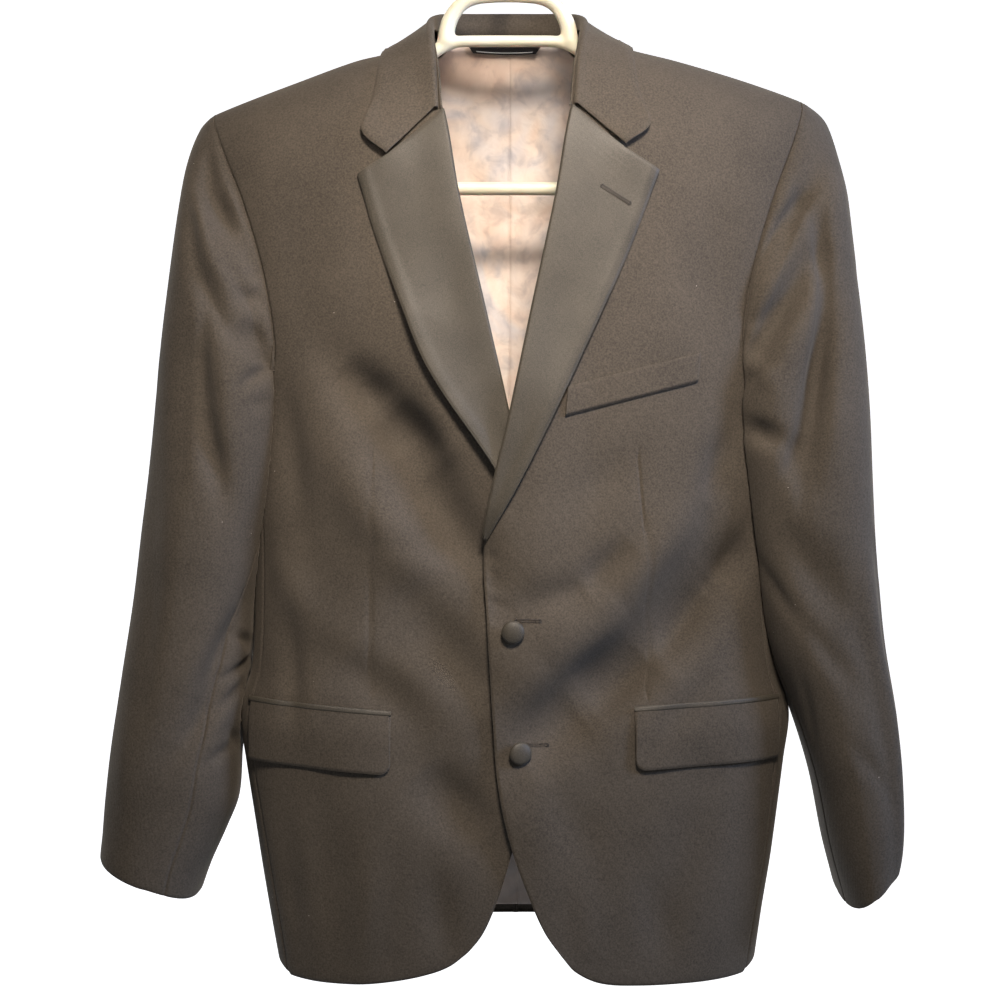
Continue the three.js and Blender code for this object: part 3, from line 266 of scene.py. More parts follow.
# the body's surface: rounded sections with the soft folds sunk into them
def bodyPoint(x, w):
    z = heightAt(x, w)
    front = np.asarray(w) >= 0
    face = np.where(front, 1.0, -1.0)
    share = np.clip(np.abs(x - bodyAt(z, "middle")) / bodyAt(z, "half"), 0, 1)
    fall = (1 - share ** body["sectionPower"]) ** (1 / body["sectionPower"])
    turn = np.minimum(np.abs(w) / body["ridgeDrop"], 1) * (math.pi / 2)
    depth = np.where(front, bodyAt(z, "front"), bodyAt(z, "back"))
    depth = depth * np.sin(turn) ** (2 / body["ridgePower"])
    fold = np.where(front, foldDepth(bodyFolds["front"], x, z), foldDepth(bodyFolds["back"], x, z))
    return point(x, -face * (depth * fall - fold * np.sin(turn) * smooth(fall, 0.55, 0.8)), z)


def bodyNormal(x, w):
    step = 3
    across = bodyPoint(x + step, w) - bodyPoint(x - step, w)
    down = bodyPoint(x, w + step) - bodyPoint(x, w - step)
    return -unit(np.cross(across, down))


# a place on the body, moved out by its lift
def onBody(x, w, lift):
    return bodyPoint(x, w) + bodyNormal(x, w) * np.asarray(lift)[..., None]


def creaseLift(face, x, z):
    fall = smooth(bodyAt(z, "half") - np.abs(x - bodyAt(z, "middle")), *body["creaseEnd"])
    return -body["creaseGain"][face] * foldDepth(bodyCreases[face], x, z) * fall


# a seam sinks a little, so the line between two pieces shows
seam = {"deep": 0.95, "wide": 1.3, "near": (0.35, 0.8, 1.4, 2.2, 3.4, 5.2)}


def seamDip(distance):
    return -seam["deep"] * hump(distance, seam["wide"])


def shares(count, size, start=True, end=True, extra=()):
    close = np.array(seam["near"]) / size
    values = [np.linspace(0, 1, count + 1), np.array(extra, float)]
    if start:
        values.append(close)
    if end:
        values.append(1 - close)
    return np.unique(np.round(np.concatenate(values), 5))


# one cloth piece from a grid of points: rows run down it, columns across
def gridLengths(points):
    across = np.linalg.norm(np.diff(points, axis=1), axis=2)
    down = np.linalg.norm(np.diff(points, axis=0), axis=2)
    u = np.concatenate([np.zeros((len(points), 1)), np.cumsum(across, axis=1)], axis=1)
    v = np.concatenate([np.zeros((1, points.shape[1])), np.cumsum(down, axis=0)], axis=0)
    return u, v


# whether the grid's own faces point the same way as the normals
def outward(points, normals):
    across = np.gradient(points, axis=1)
    down = np.gradient(points, axis=0)
    return float(np.sum(np.cross(across, down) * normals)) > 0


def clothPiece(name, points, wall, material, normals, node=None):
    rows, columns = points.shape[:2]
    mesh = bmesh.new()
    layer = mesh.loops.layers.uv.new("cloth")
    bmesh.ops.create_grid(mesh, x_segments=columns - 1, y_segments=rows - 1, size=0.5, calc_uvs=False)
    u, v = gridLengths(points)
    u = u - u.mean(axis=1, keepdims=True)
    place = {}
    for vertex in mesh.verts:
        i = round((vertex.co.x + 0.5) * (columns - 1))
        j = round((vertex.co.y + 0.5) * (rows - 1))
        place[vertex.index] = (j, i)
        vertex.co = points[j, i] * mm
    for face in mesh.faces:
        for loop in face.loops:
            j, i = place[loop.vert.index]
            loop[layer].uv = (u[j, i] * mm, -v[j, i] * mm)
    if not outward(points, normals):
        bmesh.ops.reverse_faces(mesh, faces=mesh.faces[:])
    for face in mesh.faces:
        face.smooth = True
    piece = finished(name, mesh, material, node)
    shell = piece.modifiers.new("wall", "SOLIDIFY")
    shell.thickness = wall * mm
    shell.offset = -1
    return piece


def finished(name, mesh, material, node=None):
    data = bpy.data.meshes.new(name)
    mesh.to_mesh(data)
    mesh.free()
    piece = bpy.data.objects.new(name, data)
    scene.collection.objects.link(piece)
    data.materials.append(material)
    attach(piece, "root")
    if node:
        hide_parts(node)
    return piece


# materials
def linear(hexColour):
    channels = [int(hexColour[k : k + 2], 16) / 255 for k in (1, 3, 5)]
    return [c / 12.92 if c <= 0.04045 else ((c + 0.055) / 1.055) ** 2.4 for c in channels] + [1.0]


# gives a node its values and links; a colour ramp's stops are (place, colour)
def setNode(material, node, settings=None, links=None):
    for key, value in (settings or {}).items():
        if key == "stops":
            elements = node.color_ramp.elements
            while len(elements) < len(value):
                elements.new(0.5)
            for element, (place, colour) in zip(elements, value):
                element.position = place
                element.color = linear(colour)
        elif isinstance(key, int) or key in node.inputs.keys():
            node.inputs[key].default_value = value
        else:
            setattr(node, key, value)
    for key, source in (links or {}).items():
        material.node_tree.links.new(source, node.inputs[key])
    return node


def addNode(material, kind, settings=None, links=None):
    return setNode(material, material.node_tree.nodes.new(kind), settings, links)


def newMaterial(name, colour):
    material = bpy.data.materials.new(name)
    material.use_nodes = True
    material.diffuse_color = linear(colour)
    return material, material.node_tree.nodes["Principled BSDF"]


# scale of a wave texture for bands this many mm apart: it turns 20 radians in a unit along one axis
def bandScale(spacing, radians=20):
    return 2000 * math.pi / (radians * spacing)


# Worsted wool barathea, matt with a fine woven grain and a few pale specks of lint.
# Its threads of 0.5 mm are too fine to show, so a coarser grain of 1.5 mm stands for them,
# and soft slanting bands 10 mm apart under it keep the cloth from looking flat.
woolSizes = {
    "dark": "#342f29",
    "light": "#5d554b",
    "lint": "#a59c92",
    "sheen": "#8d8579",
    "grain": 1.5,
    "bands": 9.774,
    "cloud": 60,
    "speckGap": 26,
    "speckShare": 0.016,
}


def woolBarathea():
    sizes = woolSizes
    material, shader = newMaterial("woolBarathea", sizes["light"])
    where = addNode(material, "ShaderNodeTexCoord")
    onObject, onCloth = ({"Vector": where.outputs[key]} for key in ("Object", "UV"))
    grainLook = {"Scale": 1000 / sizes["grain"], "Detail": 2.0, "Roughness": 0.6}
    grain = addNode(material, "ShaderNodeTexNoise", grainLook, onObject)
    cloudLook = {"Scale": 1000 / sizes["cloud"], "Detail": 3.0, "Roughness": 0.55}
    cloud = addNode(material, "ShaderNodeTexNoise", cloudLook, onObject)
    slant = bandScale(sizes["bands"], 10 * math.sqrt(2))
    bandLook = {"wave_type": "BANDS", "bands_direction": "DIAGONAL", "Scale": slant}
    bandLook.update({"Distortion": 1.2, "Detail": 1.0, "Detail Scale": 2.0})
    bands = addNode(material, "ShaderNodeTexWave", bandLook, onCloth)
    addUp = "MULTIPLY_ADD"
    toneLook = {"operation": addUp, 1: 0.75, 2: 0.1}
    tone = addNode(material, "ShaderNodeMath", toneLook, {0: grain.outputs["Fac"]})
    both = {0: cloud.outputs["Fac"], 2: tone.outputs[0]}
    mixed = addNode(material, "ShaderNodeMath", {"operation": addUp, 1: 0.3}, both)
    stops = [(0.32, sizes["dark"]), (0.86, sizes["light"])]
    ramp = addNode(material, "ShaderNodeValToRGB", {"stops": stops}, {"Fac": mixed.outputs[0]})
    speckLook = {"Scale": 1000 / sizes["speckGap"], "Randomness": 1.0}
    specks = addNode(material, "ShaderNodeTexVoronoi", speckLook, onObject)
    nearest = {"operation": "LESS_THAN", 1: sizes["speckShare"]}
    speck = addNode(material, "ShaderNodeMath", nearest, {0: specks.outputs["Distance"]})
    linted = {"Factor": speck.outputs[0], 6: ramp.outputs["Color"]}
    colour = addNode(material, "ShaderNodeMix", {"data_type": "RGBA", 7: linear(sizes["lint"])}, linted)
    raised = {0: bands.outputs["Fac"], 2: grain.outputs["Fac"]}
    height = addNode(material, "ShaderNodeMath", {"operation": addUp, 1: 0.35}, raised)
    bumpLook = {"Strength": 0.35, "Distance": 0.0004}
    bump = addNode(material, "ShaderNodeBump", bumpLook, {"Height": height.outputs[0]})
    look = {"Roughness": 0.82, "Specular IOR Level": 0.25, "Sheen Weight": 0.35, "Sheen Roughness": 0.45}
    look["Sheen Tint"] = linear(sizes["sheen"])
    setNode(material, shader, look, {"Base Color": colour.outputs[2], "Normal": bump.outputs["Normal"]})
    return material


# Duchesse satin on the lapels: a tight face with a low soft gloss, greyer and greener than the wool.
# Its threads are too fine to show: a grain of 0.9 mm stands for them, over soft cross bands 5.7 mm apart.
satinSizes = {
    "dark": "#38342c",
    "light": "#524c42",
    "sheen": "#8f8a7c",
    "grain": 0.9,
    "bands": 5.655,
    "cloud": 26,
}


def duchesseSatin():
    sizes = satinSizes
    material, shader = newMaterial("duchesseSatin", sizes["light"])
    where = addNode(material, "ShaderNodeTexCoord")
    onObject, onCloth = ({"Vector": where.outputs[key]} for key in ("Object", "UV"))
    grainLook = {"Scale": 1000 / sizes["grain"], "Detail": 1.0, "Roughness": 0.5}
    grain = addNode(material, "ShaderNodeTexNoise", grainLook, onObject)
    cloudLook = {"Scale": 1000 / sizes["cloud"], "Detail": 2.0}
    cloud = addNode(material, "ShaderNodeTexNoise", cloudLook, onObject)
    both = {0: cloud.outputs["Fac"], 2: grain.outputs["Fac"]}
    mixed = addNode(material, "ShaderNodeMath", {"operation": "MULTIPLY_ADD", 1: 0.4}, both)
    stops = [(0.4, sizes["dark"]), (1.0, sizes["light"])]
    ramp = addNode(material, "ShaderNodeValToRGB", {"stops": stops}, {"Fac": mixed.outputs[0]})
    bandLook = {"wave_type": "BANDS", "bands_direction": "Y", "Scale": bandScale(sizes["bands"])}
    bandLook["Distortion"] = 0.6
    bands = addNode(material, "ShaderNodeTexWave", bandLook, onCloth)
    raised = {0: bands.outputs["Fac"], 2: grain.outputs["Fac"]}
    height = addNode(material, "ShaderNodeMath", {"operation": "MULTIPLY_ADD", 1: 0.3}, raised)
    bumpLook = {"Strength": 0.22, "Distance": 0.0003}
    bump = addNode(material, "ShaderNodeBump", bumpLook, {"Height": height.outputs[0]})
    look = {"Roughness": 0.55, "Specular IOR Level": 0.45, "Sheen Weight": 0.25, "Sheen Roughness": 0.35}
    look["Sheen Tint"] = linear(sizes["sheen"])
    setNode(material, shader, look, {"Base Color": ramp.outputs["Color"], "Normal": bump.outputs["Normal"]})
    return material


# Acetate lining satin, silver taupe, thin and glossy. Its clouded look, rosy and grey patches with darker and
# lighter clouds laid at random, is painted sheen and shade of the glossy cloth over its own colour.
liningSizes = {
    "base": "#dacbc0",
    "rose": "#e2c2ac",
    "grey": "#b8bac4",
    "deep": "#a89d9b",
    "light": "#e6dad0",
    "cloud": 17,
    "patch": 62,
    "crumple": 18,
}


def acetateLining():
    sizes = liningSizes
    material, shader = newMaterial("acetateLining", sizes["base"])
    where = addNode(material, "ShaderNodeTexCoord")
    onObject = {"Vector": where.outputs["Object"]}
    looks = {
        "patch": {"Detail": 2.0, "Roughness": 0.5, "Distortion": 0.8},
        "cloud": {"Detail": 3.0, "Roughness": 0.55, "Distortion": 0.5},
        "crumple": {"Detail": 2.0, "Roughness": 0.5, "Distortion": 1.2},
    }
    noise = {}
    for name, look in looks.items():
        scaled = {"Scale": 1000 / sizes[name], **look}
        noise[name] = addNode(material, "ShaderNodeTexNoise", scaled, onObject).outputs["Fac"]
    # painted sheen and shade: wide rosy and grey patches and fine darker and lighter clouds, mixed half and
    # half
    stops = [(0.36, sizes["grey"]), (0.5, sizes["base"]), (0.64, sizes["rose"])]
    wide = addNode(material, "ShaderNodeValToRGB", {"stops": stops}, {"Fac": noise["patch"]})
    stops = [(0.34, sizes["deep"]), (0.5, sizes["base"]), (0.68, sizes["light"])]
    fine = addNode(material, "ShaderNodeValToRGB", {"stops": stops}, {"Fac": noise["cloud"]})
    both = {6: wide.outputs["Color"], 7: fine.outputs["Color"]}
    colour = addNode(material, "ShaderNodeMix", {"data_type": "RGBA", "Factor": 0.5}, both)
    bumpLook = {"Strength": 0.3, "Distance": 0.002}
    bump = addNode(material, "ShaderNodeBump", bumpLook, {"Height": noise["crumple"]})
    look = {"Roughness": 0.42, "Specular IOR Level": 0.5, "Sheen Weight": 0.15}
    setNode(material, shader, look, {"Base Color": colour.outputs[2], "Normal": bump.outputs["Normal"]})
    return material


# Moulded polystyrene, cream white: smooth with a low gloss and faint flow marks.
plasticSizes = {"base": "#f6f2df", "shade": "#e8e0c6", "light": "#f2ecd8", "flow": 40}


def mouldedPolystyrene():
    sizes = plasticSizes
    material, shader = newMaterial("mouldedPolystyrene", sizes["base"])
    where = addNode(material, "ShaderNodeTexCoord")
    onObject = {"Vector": where.outputs["Object"]}
    flow = addNode(material, "ShaderNodeTexNoise", {"Scale": 1000 / sizes["flow"], "Detail": 2.0}, onObject)
    stops = [(0.3, sizes["shade"]), (0.7, sizes["light"])]
    tone = addNode(material, "ShaderNodeValToRGB", {"stops": stops}, {"Fac": flow.outputs["Fac"]})
    bumpLook = {"Strength": 0.08, "Distance": 0.001}
    bump = addNode(material, "ShaderNodeBump", bumpLook, {"Height": flow.outputs["Fac"]})
    look = {"Roughness": 0.38, "Subsurface Weight": 0.08}
    setNode(material, shader, look, {"Base Color": tone.outputs["Color"], "Normal": bump.outputs["Normal"]})
    return material


def plainCloth(name, colour, roughness, fine):
    material, shader = newMaterial(name, colour)
    where = addNode(material, "ShaderNodeTexCoord")
    onObject = {"Vector": where.outputs["Object"]}
    grain = addNode(material, "ShaderNodeTexNoise", {"Scale": 1000 / fine, "Detail": 2.0}, onObject)
    bumpLook = {"Strength": 0.4, "Distance": 0.0003}
    bump = addNode(material, "ShaderNodeBump", bumpLook, {"Height": grain.outputs["Fac"]})
    look = {"Base Color": linear(colour), "Roughness": roughness}
    setNode(material, shader, look, {"Normal": bump.outputs["Normal"]})
    return material


wool = woolBarathea()
satin = duchesseSatin()
lining = acetateLining()
hangerPlastic = mouldedPolystyrene()
# Woven damask label, black: a dark patch with a faint gloss behind the hanger.
labelSatin = plainCloth("labelSatin", "#15151a", 0.5, 0.6)
# Silver grey rayon thread: one thin bright line along the label.
labelThread = plainCloth("silverThread", "#b9bcc0", 0.4, 0.5)
# Silk buttonhole twist in the cloth's own brown: fine cords, a little darker than the wool.
silkTwist = plainCloth("silkTwistThread", "#332d27", 0.6, 0.4)
print("materials made")

# edges of the two fronts, and their hems
frontEdges = {
    1: {
        "edge": {
            "z": [
                -112, -150, -178, -200, -262, -350, -443, -480,
                -540, -598, -686, -730, -777, -819, -845, -864,
            ],
            "x": [66, 65, 58, 49.5, 39, 20.4, 0.8, -8.2, -19.5, -16.8, -11.9, -8, 2.4, 17.4, 29, 42],
        },
        "hem": {"x": [42, 53, 73, 104, 152, 193, 206], "z": [-864, -877, -887, -890, -890, -888, -886]},
        "dart": {"z": [-463, -470, -545, -662], "x": [102.5, 103, 109.5, 111.5], "deep": 1.3},
    },
    -1: {
        "edge": {
            "z": [-112, -150, -178, -200, -262, -350, -443, -530, -620, -700, -750, -785, -823, -847, -862],
            "x": [66, 65.5, 59.5, 51, 40.5, 20.3, -0.8, -18, -20, -17, -11, -2.4, 9.5, 20, 31.5],
        },
        "hem": {"x": [31.5, 47, 66, 93, 122, 160, 198], "z": [-862, -874, -881, -887, -890.5, -891, -888.5]},
        "dart": {"z": [-462, -468, -545, -662], "x": [107, 107.2, 109, 110.5], "deep": 1.3},
    },
}
armhole = {
    "front": {
        "share": [0, 0.06, 0.17, 0.33, 0.52, 0.68, 0.83, 0.92, 0.97, 1],
        "x": [243, 240, 230.5, 215.5, 201.5, 193, 188.5, 189.5, 196, 206.8],
    },
    "back": {
        "share": [0, 0.08, 0.2, 0.36, 0.55, 0.72, 0.87, 1],
        "x": [243, 238, 229, 218, 209, 204, 201, 198.6],
    },
    "frontShares": [0, 0.05, 0.12, 0.2, 0.3, 0.41, 0.53, 0.65, 0.77, 0.88, 0.95, 1],
    "backShares": [0, 0.012, 0.026, 0.045, 0.1, 0.17, 0.26, 0.37, 0.49, 0.61, 0.74, 0.87, 1],
    "topW": 9.9,
    "ridgeW": (-5, -19),
    "skirtSteps": 13,
    "footSteps": 4,
}


# the armhole's line from the shoulder down, on the front or on the back
def armholePlaces(side, share, face):
    rows = armhole["front"] if face > 0 else armhole["back"]
    top = heightAt(side * body["armholeTopX"], armhole["topW"])
    z = lerp(top, body["armholeFootZ"], share)
    x = side * columnAt(rows, "share", share, "x") + bodyAt(z, "middle") * share
    w = wayDown(x, z, face)
    if face < 0:
        nearShares = armhole["backShares"][:4]
        last = nearShares[-1]
        endX = side * columnAt(rows, "share", last, "x")
        endW = float(wayDown(endX, lerp(top, body["armholeFootZ"], last), face))
        nearW = np.interp(share, nearShares, [armhole["topW"], *armhole["ridgeW"], endW])
        w = np.where(share < last, nearW, w)
    return x, np.where(share <= 0, armhole["topW"], w)


def sideSeamX(side, z, share):
    return bodyAt(z, "middle") + side * share * bodyAt(z, "half")


# a panel between its two long borders, bent near its ends to meet the other two
def fillPlaces(u, v, first, last, top, bottom, corners):
    topShare = (1 - v) ** 3
    bottomShare = v**5
    result = []
    for axis in (0, 1):
        between = lerp(first[axis], last[axis], u)
        overTop = top[axis] - lerp(corners["topFirst"][axis], corners["topLast"][axis], u)
        overBottom = bottom[axis] - lerp(corners["bottomFirst"][axis], corners["bottomLast"][axis], u)
        result.append(between + topShare * overTop + bottomShare * overBottom)
    return result


# x and w over one front: u from its edge to the side seam, v from shoulder to hem
def frontPlaces(side, u, v):
    form = frontEdges[side]
    steps = armhole["skirtSteps"]
    armRows = len(armhole["frontShares"]) - 1
    rowAt = v * (armRows + steps)
    share = np.interp(rowAt, np.arange(armRows + 1), armhole["frontShares"])
    skirt = np.clip((rowAt - armRows) / steps, 0, 1)
    edgeTop = float(heightAt(side * body["neckPointX"], body["shoulderSeam"]))
    bustZ = front["bustZ"]
    cornerZ = form["edge"]["z"][-1]
    hemSideZ = form["hem"]["z"][-1]
    edgeZ = np.where(skirt > 0, lerp(bustZ, cornerZ, skirt**0.93), lerp(edgeTop, bustZ, share))
    edgeX = side * columnAt(form["edge"], "z", edgeZ, "x")
    edgeW = wayDown(edgeX, edgeZ)
    fade = smooth(share, 0, 0.05)
    edgeX = lerp(side * body["neckPointX"], edgeX, fade)
    edgeW = lerp(body["shoulderSeam"], edgeW, fade)
    armX, armW = armholePlaces(side, share, 1)
    seamZ = lerp(body["armholeFootZ"], hemSideZ, skirt)
    seamX = sideSeamX(side, seamZ, body["sideSeam"])
    lastX = np.where(skirt > 0, seamX, armX)
    lastW = np.where(skirt > 0, wayDown(seamX, seamZ), armW)
    cornerX = form["edge"]["x"][-1]
    endX = float(sideSeamX(side, hemSideZ, body["sideSeam"]))
    armTopX = float(armholePlaces(side, np.array(0.0), 1)[0])
    topX = lerp(side * body["neckPointX"], armTopX, u)
    topW = lerp(body["shoulderSeam"], armhole["topW"], u)
    hemX = lerp(cornerX, side * endX, u**1.15)
    hemZ = columnAt(form["hem"], "x", hemX, "z")
    corners = {
        "topFirst": (side * body["neckPointX"], body["shoulderSeam"]),
        "topLast": (armTopX, armhole["topW"]),
        "bottomFirst": (side * cornerX, float(wayDown(side * cornerX, cornerZ))),
        "bottomLast": (endX, float(wayDown(endX, hemSideZ))),
    }
    hem = (side * hemX, wayDown(side * hemX, hemZ))
    return fillPlaces(u, v, (edgeX, edgeW), (lastX, lastW), (topX, topW), hem, corners)


# how far a front stands off the body: the left one lies over the right one
def frontLift(side, x, z):
    overlap = body["overlap"] * (1 - smooth(x, 18, 72)) * smooth(-z, 330, 430) if side > 0 else 0
    return overlap + creaseLift("front", x, z) * smooth(ridgeZ(x) - z, 0, 40)


# a dart is a thin sunk line in a soft hollow
def dartLift(side, x, z):
    dart = frontEdges[side]["dart"]
    top, foot = -dart["z"][0], -dart["z"][-1]
    off = x - side * np.interp(-z, -np.array(dart["z"]), dart["x"])
    ends = smooth(-z, top - 1, top + 8) * (1 - smooth(-z, foot - 4, foot + 2))
    return -dart["deep"] * ends * (hump(off, 0.9) + 0.35 * hump(off, 6))


# distance in mm from every grid point to the four borders
def borderDistances(points):
    u, v = gridLengths(points)
    return {"first": u, "last": u[:, -1:] - u, "top": v, "bottom": v[-1:, :] - v}


# how much lower the cloth lies along each border named, as (deep, wide)
def pressed(edges, borders):
    return -sum(deep * hump(edges[border], wide) for border, (deep, wide) in borders.items())


front = {
    "columns": 84,
    "rows": 190,
    "wide": 215,
    "long": 750,
    "dartSpan": (0.47, 0.56),
    "bustZ": -440,
    "edgeRoll": 1.1,
    "hemPress": {"bottom": (1.1, 1.4)},
    "cut": (0.258, 0.8),
    "area": 0.163,
}


def frontPiece(side):
    u = shares(front["columns"], front["wide"], extra=np.linspace(*front["dartSpan"], 26))[None, :]
    v = shares(front["rows"], front["long"])[:, None]
    x, w = frontPlaces(side, u, v)
    z = heightAt(x, w)
    lift = frontLift(side, x, z)
    base = onBody(x, w, lift)
    normal = bodyNormal(x, w)
    edges = borderDistances(base)
    fine = dartLift(side, x, z) + seamDip(edges["last"]) + seamDip(edges["top"])
    flatSeam = 1 - smooth(edges["last"], 0, 18)
    fine = fine - creaseLift("front", x, z) * smooth(ridgeZ(x) - z, 0, 40) * flatSeam
    fine = fine - front["edgeRoll"] * hump(edges["first"], 1.3) * smooth(-z, 300, 420)
    fine = fine + pressed(edges, front["hemPress"]) + 0.35 * hump(edges["bottom"], 5, 9)
    word = "left" if side > 0 else "right"
    face = base + normal * fine[..., None]
    piece = clothPiece(word + "Front", face, wallSizes["wool"], wool, normal, "front_" + word)
    return piece


leftFront = frontPiece(1)
rightFront = frontPiece(-1)
print("fronts laid")

sidePanel = {"columns": 26, "rows": 120, "wide": 70, "long": 470, "cut": (0.082, 0.482), "area": 0.0345}


# the side panel follows the body's section between the two side seams
def sidePoint(side, z, share):
    power = body["sectionPower"]
    start, end = (math.acos(body[name] ** (power / 2)) for name in ("sideSeam", "backSeam"))
    turn = lerp(start, -end, share)
    depth = np.where(turn > 0, bodyAt(z, "front"), bodyAt(z, "back"))
    x = bodyAt(z, "middle") + side * bodyAt(z, "half") * np.cos(turn) ** (2 / power)
    return point(x, -signedPower(np.sin(turn), 2 / power) * depth, z)


def sideNormal(side, z, share):
    across = sidePoint(side, z, share + 0.02) - sidePoint(side, z, share - 0.02)
    down = sidePoint(side, z - 3, share) - sidePoint(side, z + 3, share)
    return -side * unit(np.cross(across, down))


def sidePiece(side):
    u = shares(sidePanel["columns"], sidePanel["wide"])[None, :]
    v = shares(sidePanel["rows"], sidePanel["long"])[:, None]
    top = body["armholeFootZ"] - 6 * np.sin(math.pi * u)
    hemZ = lerp(frontEdges[side]["hem"]["z"][-1], body["hemBackZ"] - body["hemSideDrop"], u)
    z = lerp(top, hemZ, v)
    base = sidePoint(side, z, u + 0 * v)
    normal = sideNormal(side, z, u + 0 * v)
    edges = borderDistances(base)
    soft = 0.9 * np.sin(z / 37 + side) * np.sin(math.pi * u) * smooth(v, 0.05, 0.3)
    fine = soft + seamDip(edges["first"]) + seamDip(edges["last"]) + seamDip(edges["top"])
    fine = fine + pressed(edges, front["hemPress"])
    word = "left" if side > 0 else "right"
    face = base + normal * fine[..., None]
    piece = clothPiece(word + "SidePanel", face, wallSizes["wool"], wool, normal, "side_" + word)
    return piece


sidePanels = [sidePiece(side) for side in (1, -1)]

back = {
    "columns": 92,
    "rows": 190,
    "wide": 230,
    "long": 760,
    "bustZ": -425,
    "neck": {"x": [0, 26, 46, 58, 66], "z": [-114, -114, -113.5]},
    "neckColumns": 4,
    "shoulderColumns": 9,
    "cut": (0.285, 0.797),
    "area": 0.168,
}


# x and w over half the back: u from the middle seam to the side, v from neck to hem
def backPlaces(side, u, v):
    steps = armhole["skirtSteps"]
    armRows = len(armhole["backShares"]) - 1
    rowAt = v * (armRows + steps)
    share = np.interp(rowAt, np.arange(armRows + 1), armhole["backShares"])
    skirt = np.clip((rowAt - armRows) / steps, 0, 1)
    middle = lambda z: bodyAt(z, "middle") * smooth(-z, 400, 560)
    bustZ = back["bustZ"]
    neckZ = body["neckBackZ"]
    firstZ = np.where(skirt > 0, lerp(bustZ, body["hemBackZ"], skirt), lerp(neckZ, bustZ, share))
    firstX = middle(firstZ)
    firstW = wayDown(firstX, firstZ, -1)
    armX, armW = armholePlaces(side, share, -1)
    hemSideZ = body["hemBackZ"] - body["hemSideDrop"]
    seamZ = lerp(body["armholeFootZ"], hemSideZ, skirt)
    seamX = sideSeamX(side, seamZ, body["backSeam"])
    lastX = np.where(skirt > 0, seamX, armX)
    lastW = np.where(skirt > 0, wayDown(seamX, seamZ, -1), armW)
    neckX = np.array(back["neck"]["x"], float)
    neckW = [wayDown(x, z, -1) for x, z in zip(neckX[:3], back["neck"]["z"])]
    neckW = np.array(neckW + [-12, body["shoulderSeam"]], float)
    neckColumns = back["neckColumns"]
    at = u * (neckColumns + back["shoulderColumns"])
    over = np.clip((at - neckColumns) / back["shoulderColumns"], 0, 1)
    armTopX = float(armholePlaces(side, np.array(0.0), -1)[0])
    steps = np.arange(neckColumns + 1)
    shoulderX = lerp(side * body["neckPointX"], armTopX, over)
    shoulderW = lerp(body["shoulderSeam"], armhole["topW"], over)
    topX = np.where(at <= neckColumns, side * np.interp(at, steps, neckX), shoulderX)
    topW = np.where(at <= neckColumns, np.interp(at, steps, neckW), shoulderW)
    endX = float(sideSeamX(side, hemSideZ, body["backSeam"]))
    startX = float(middle(np.array(body["hemBackZ"], float)))
    hemX = lerp(startX, endX, u)
    hemW = wayDown(hemX, lerp(body["hemBackZ"], hemSideZ, u**2), -1)
    corners = {
        "topFirst": (0.0, neckW[0]),
        "topLast": (armTopX, armhole["topW"]),
        "bottomFirst": (startX, float(wayDown(startX, body["hemBackZ"], -1))),
        "bottomLast": (endX, float(wayDown(endX, hemSideZ, -1))),
    }
    return fillPlaces(u, v, (firstX, firstW), (lastX, lastW), (topX, topW), (hemX, hemW), corners)


def backPiece(side):
    u = shares(back["columns"], back["wide"])[None, :]
    v = shares(back["rows"], back["long"])[:, None]
    x, w = backPlaces(side, u, v)
    z = heightAt(x, w)
    base = onBody(x, w, np.zeros(x.shape))
    normal = bodyNormal(x, w)
    edges = borderDistances(base)
    fine = creaseLift("back", x, z) * smooth(edges["top"], 6, 60) * smooth(edges["last"], 0, 16)
    shoulder = smooth(np.abs(x), body["neckPointX"] - 4, body["neckPointX"])
    fine = fine + seamDip(edges["first"]) + seamDip(edges["last"]) + seamDip(edges["top"]) * shoulder
    fine = fine + pressed(edges, front["hemPress"])
    word = "left" if side > 0 else "right"
    face = base + normal * fine[..., None]
    piece = clothPiece(word + "Back", face, wallSizes["wool"], wool, normal, "back_" + word)
    return piece


backs = [backPiece(side) for side in (1, -1)]
print("back and sides laid")

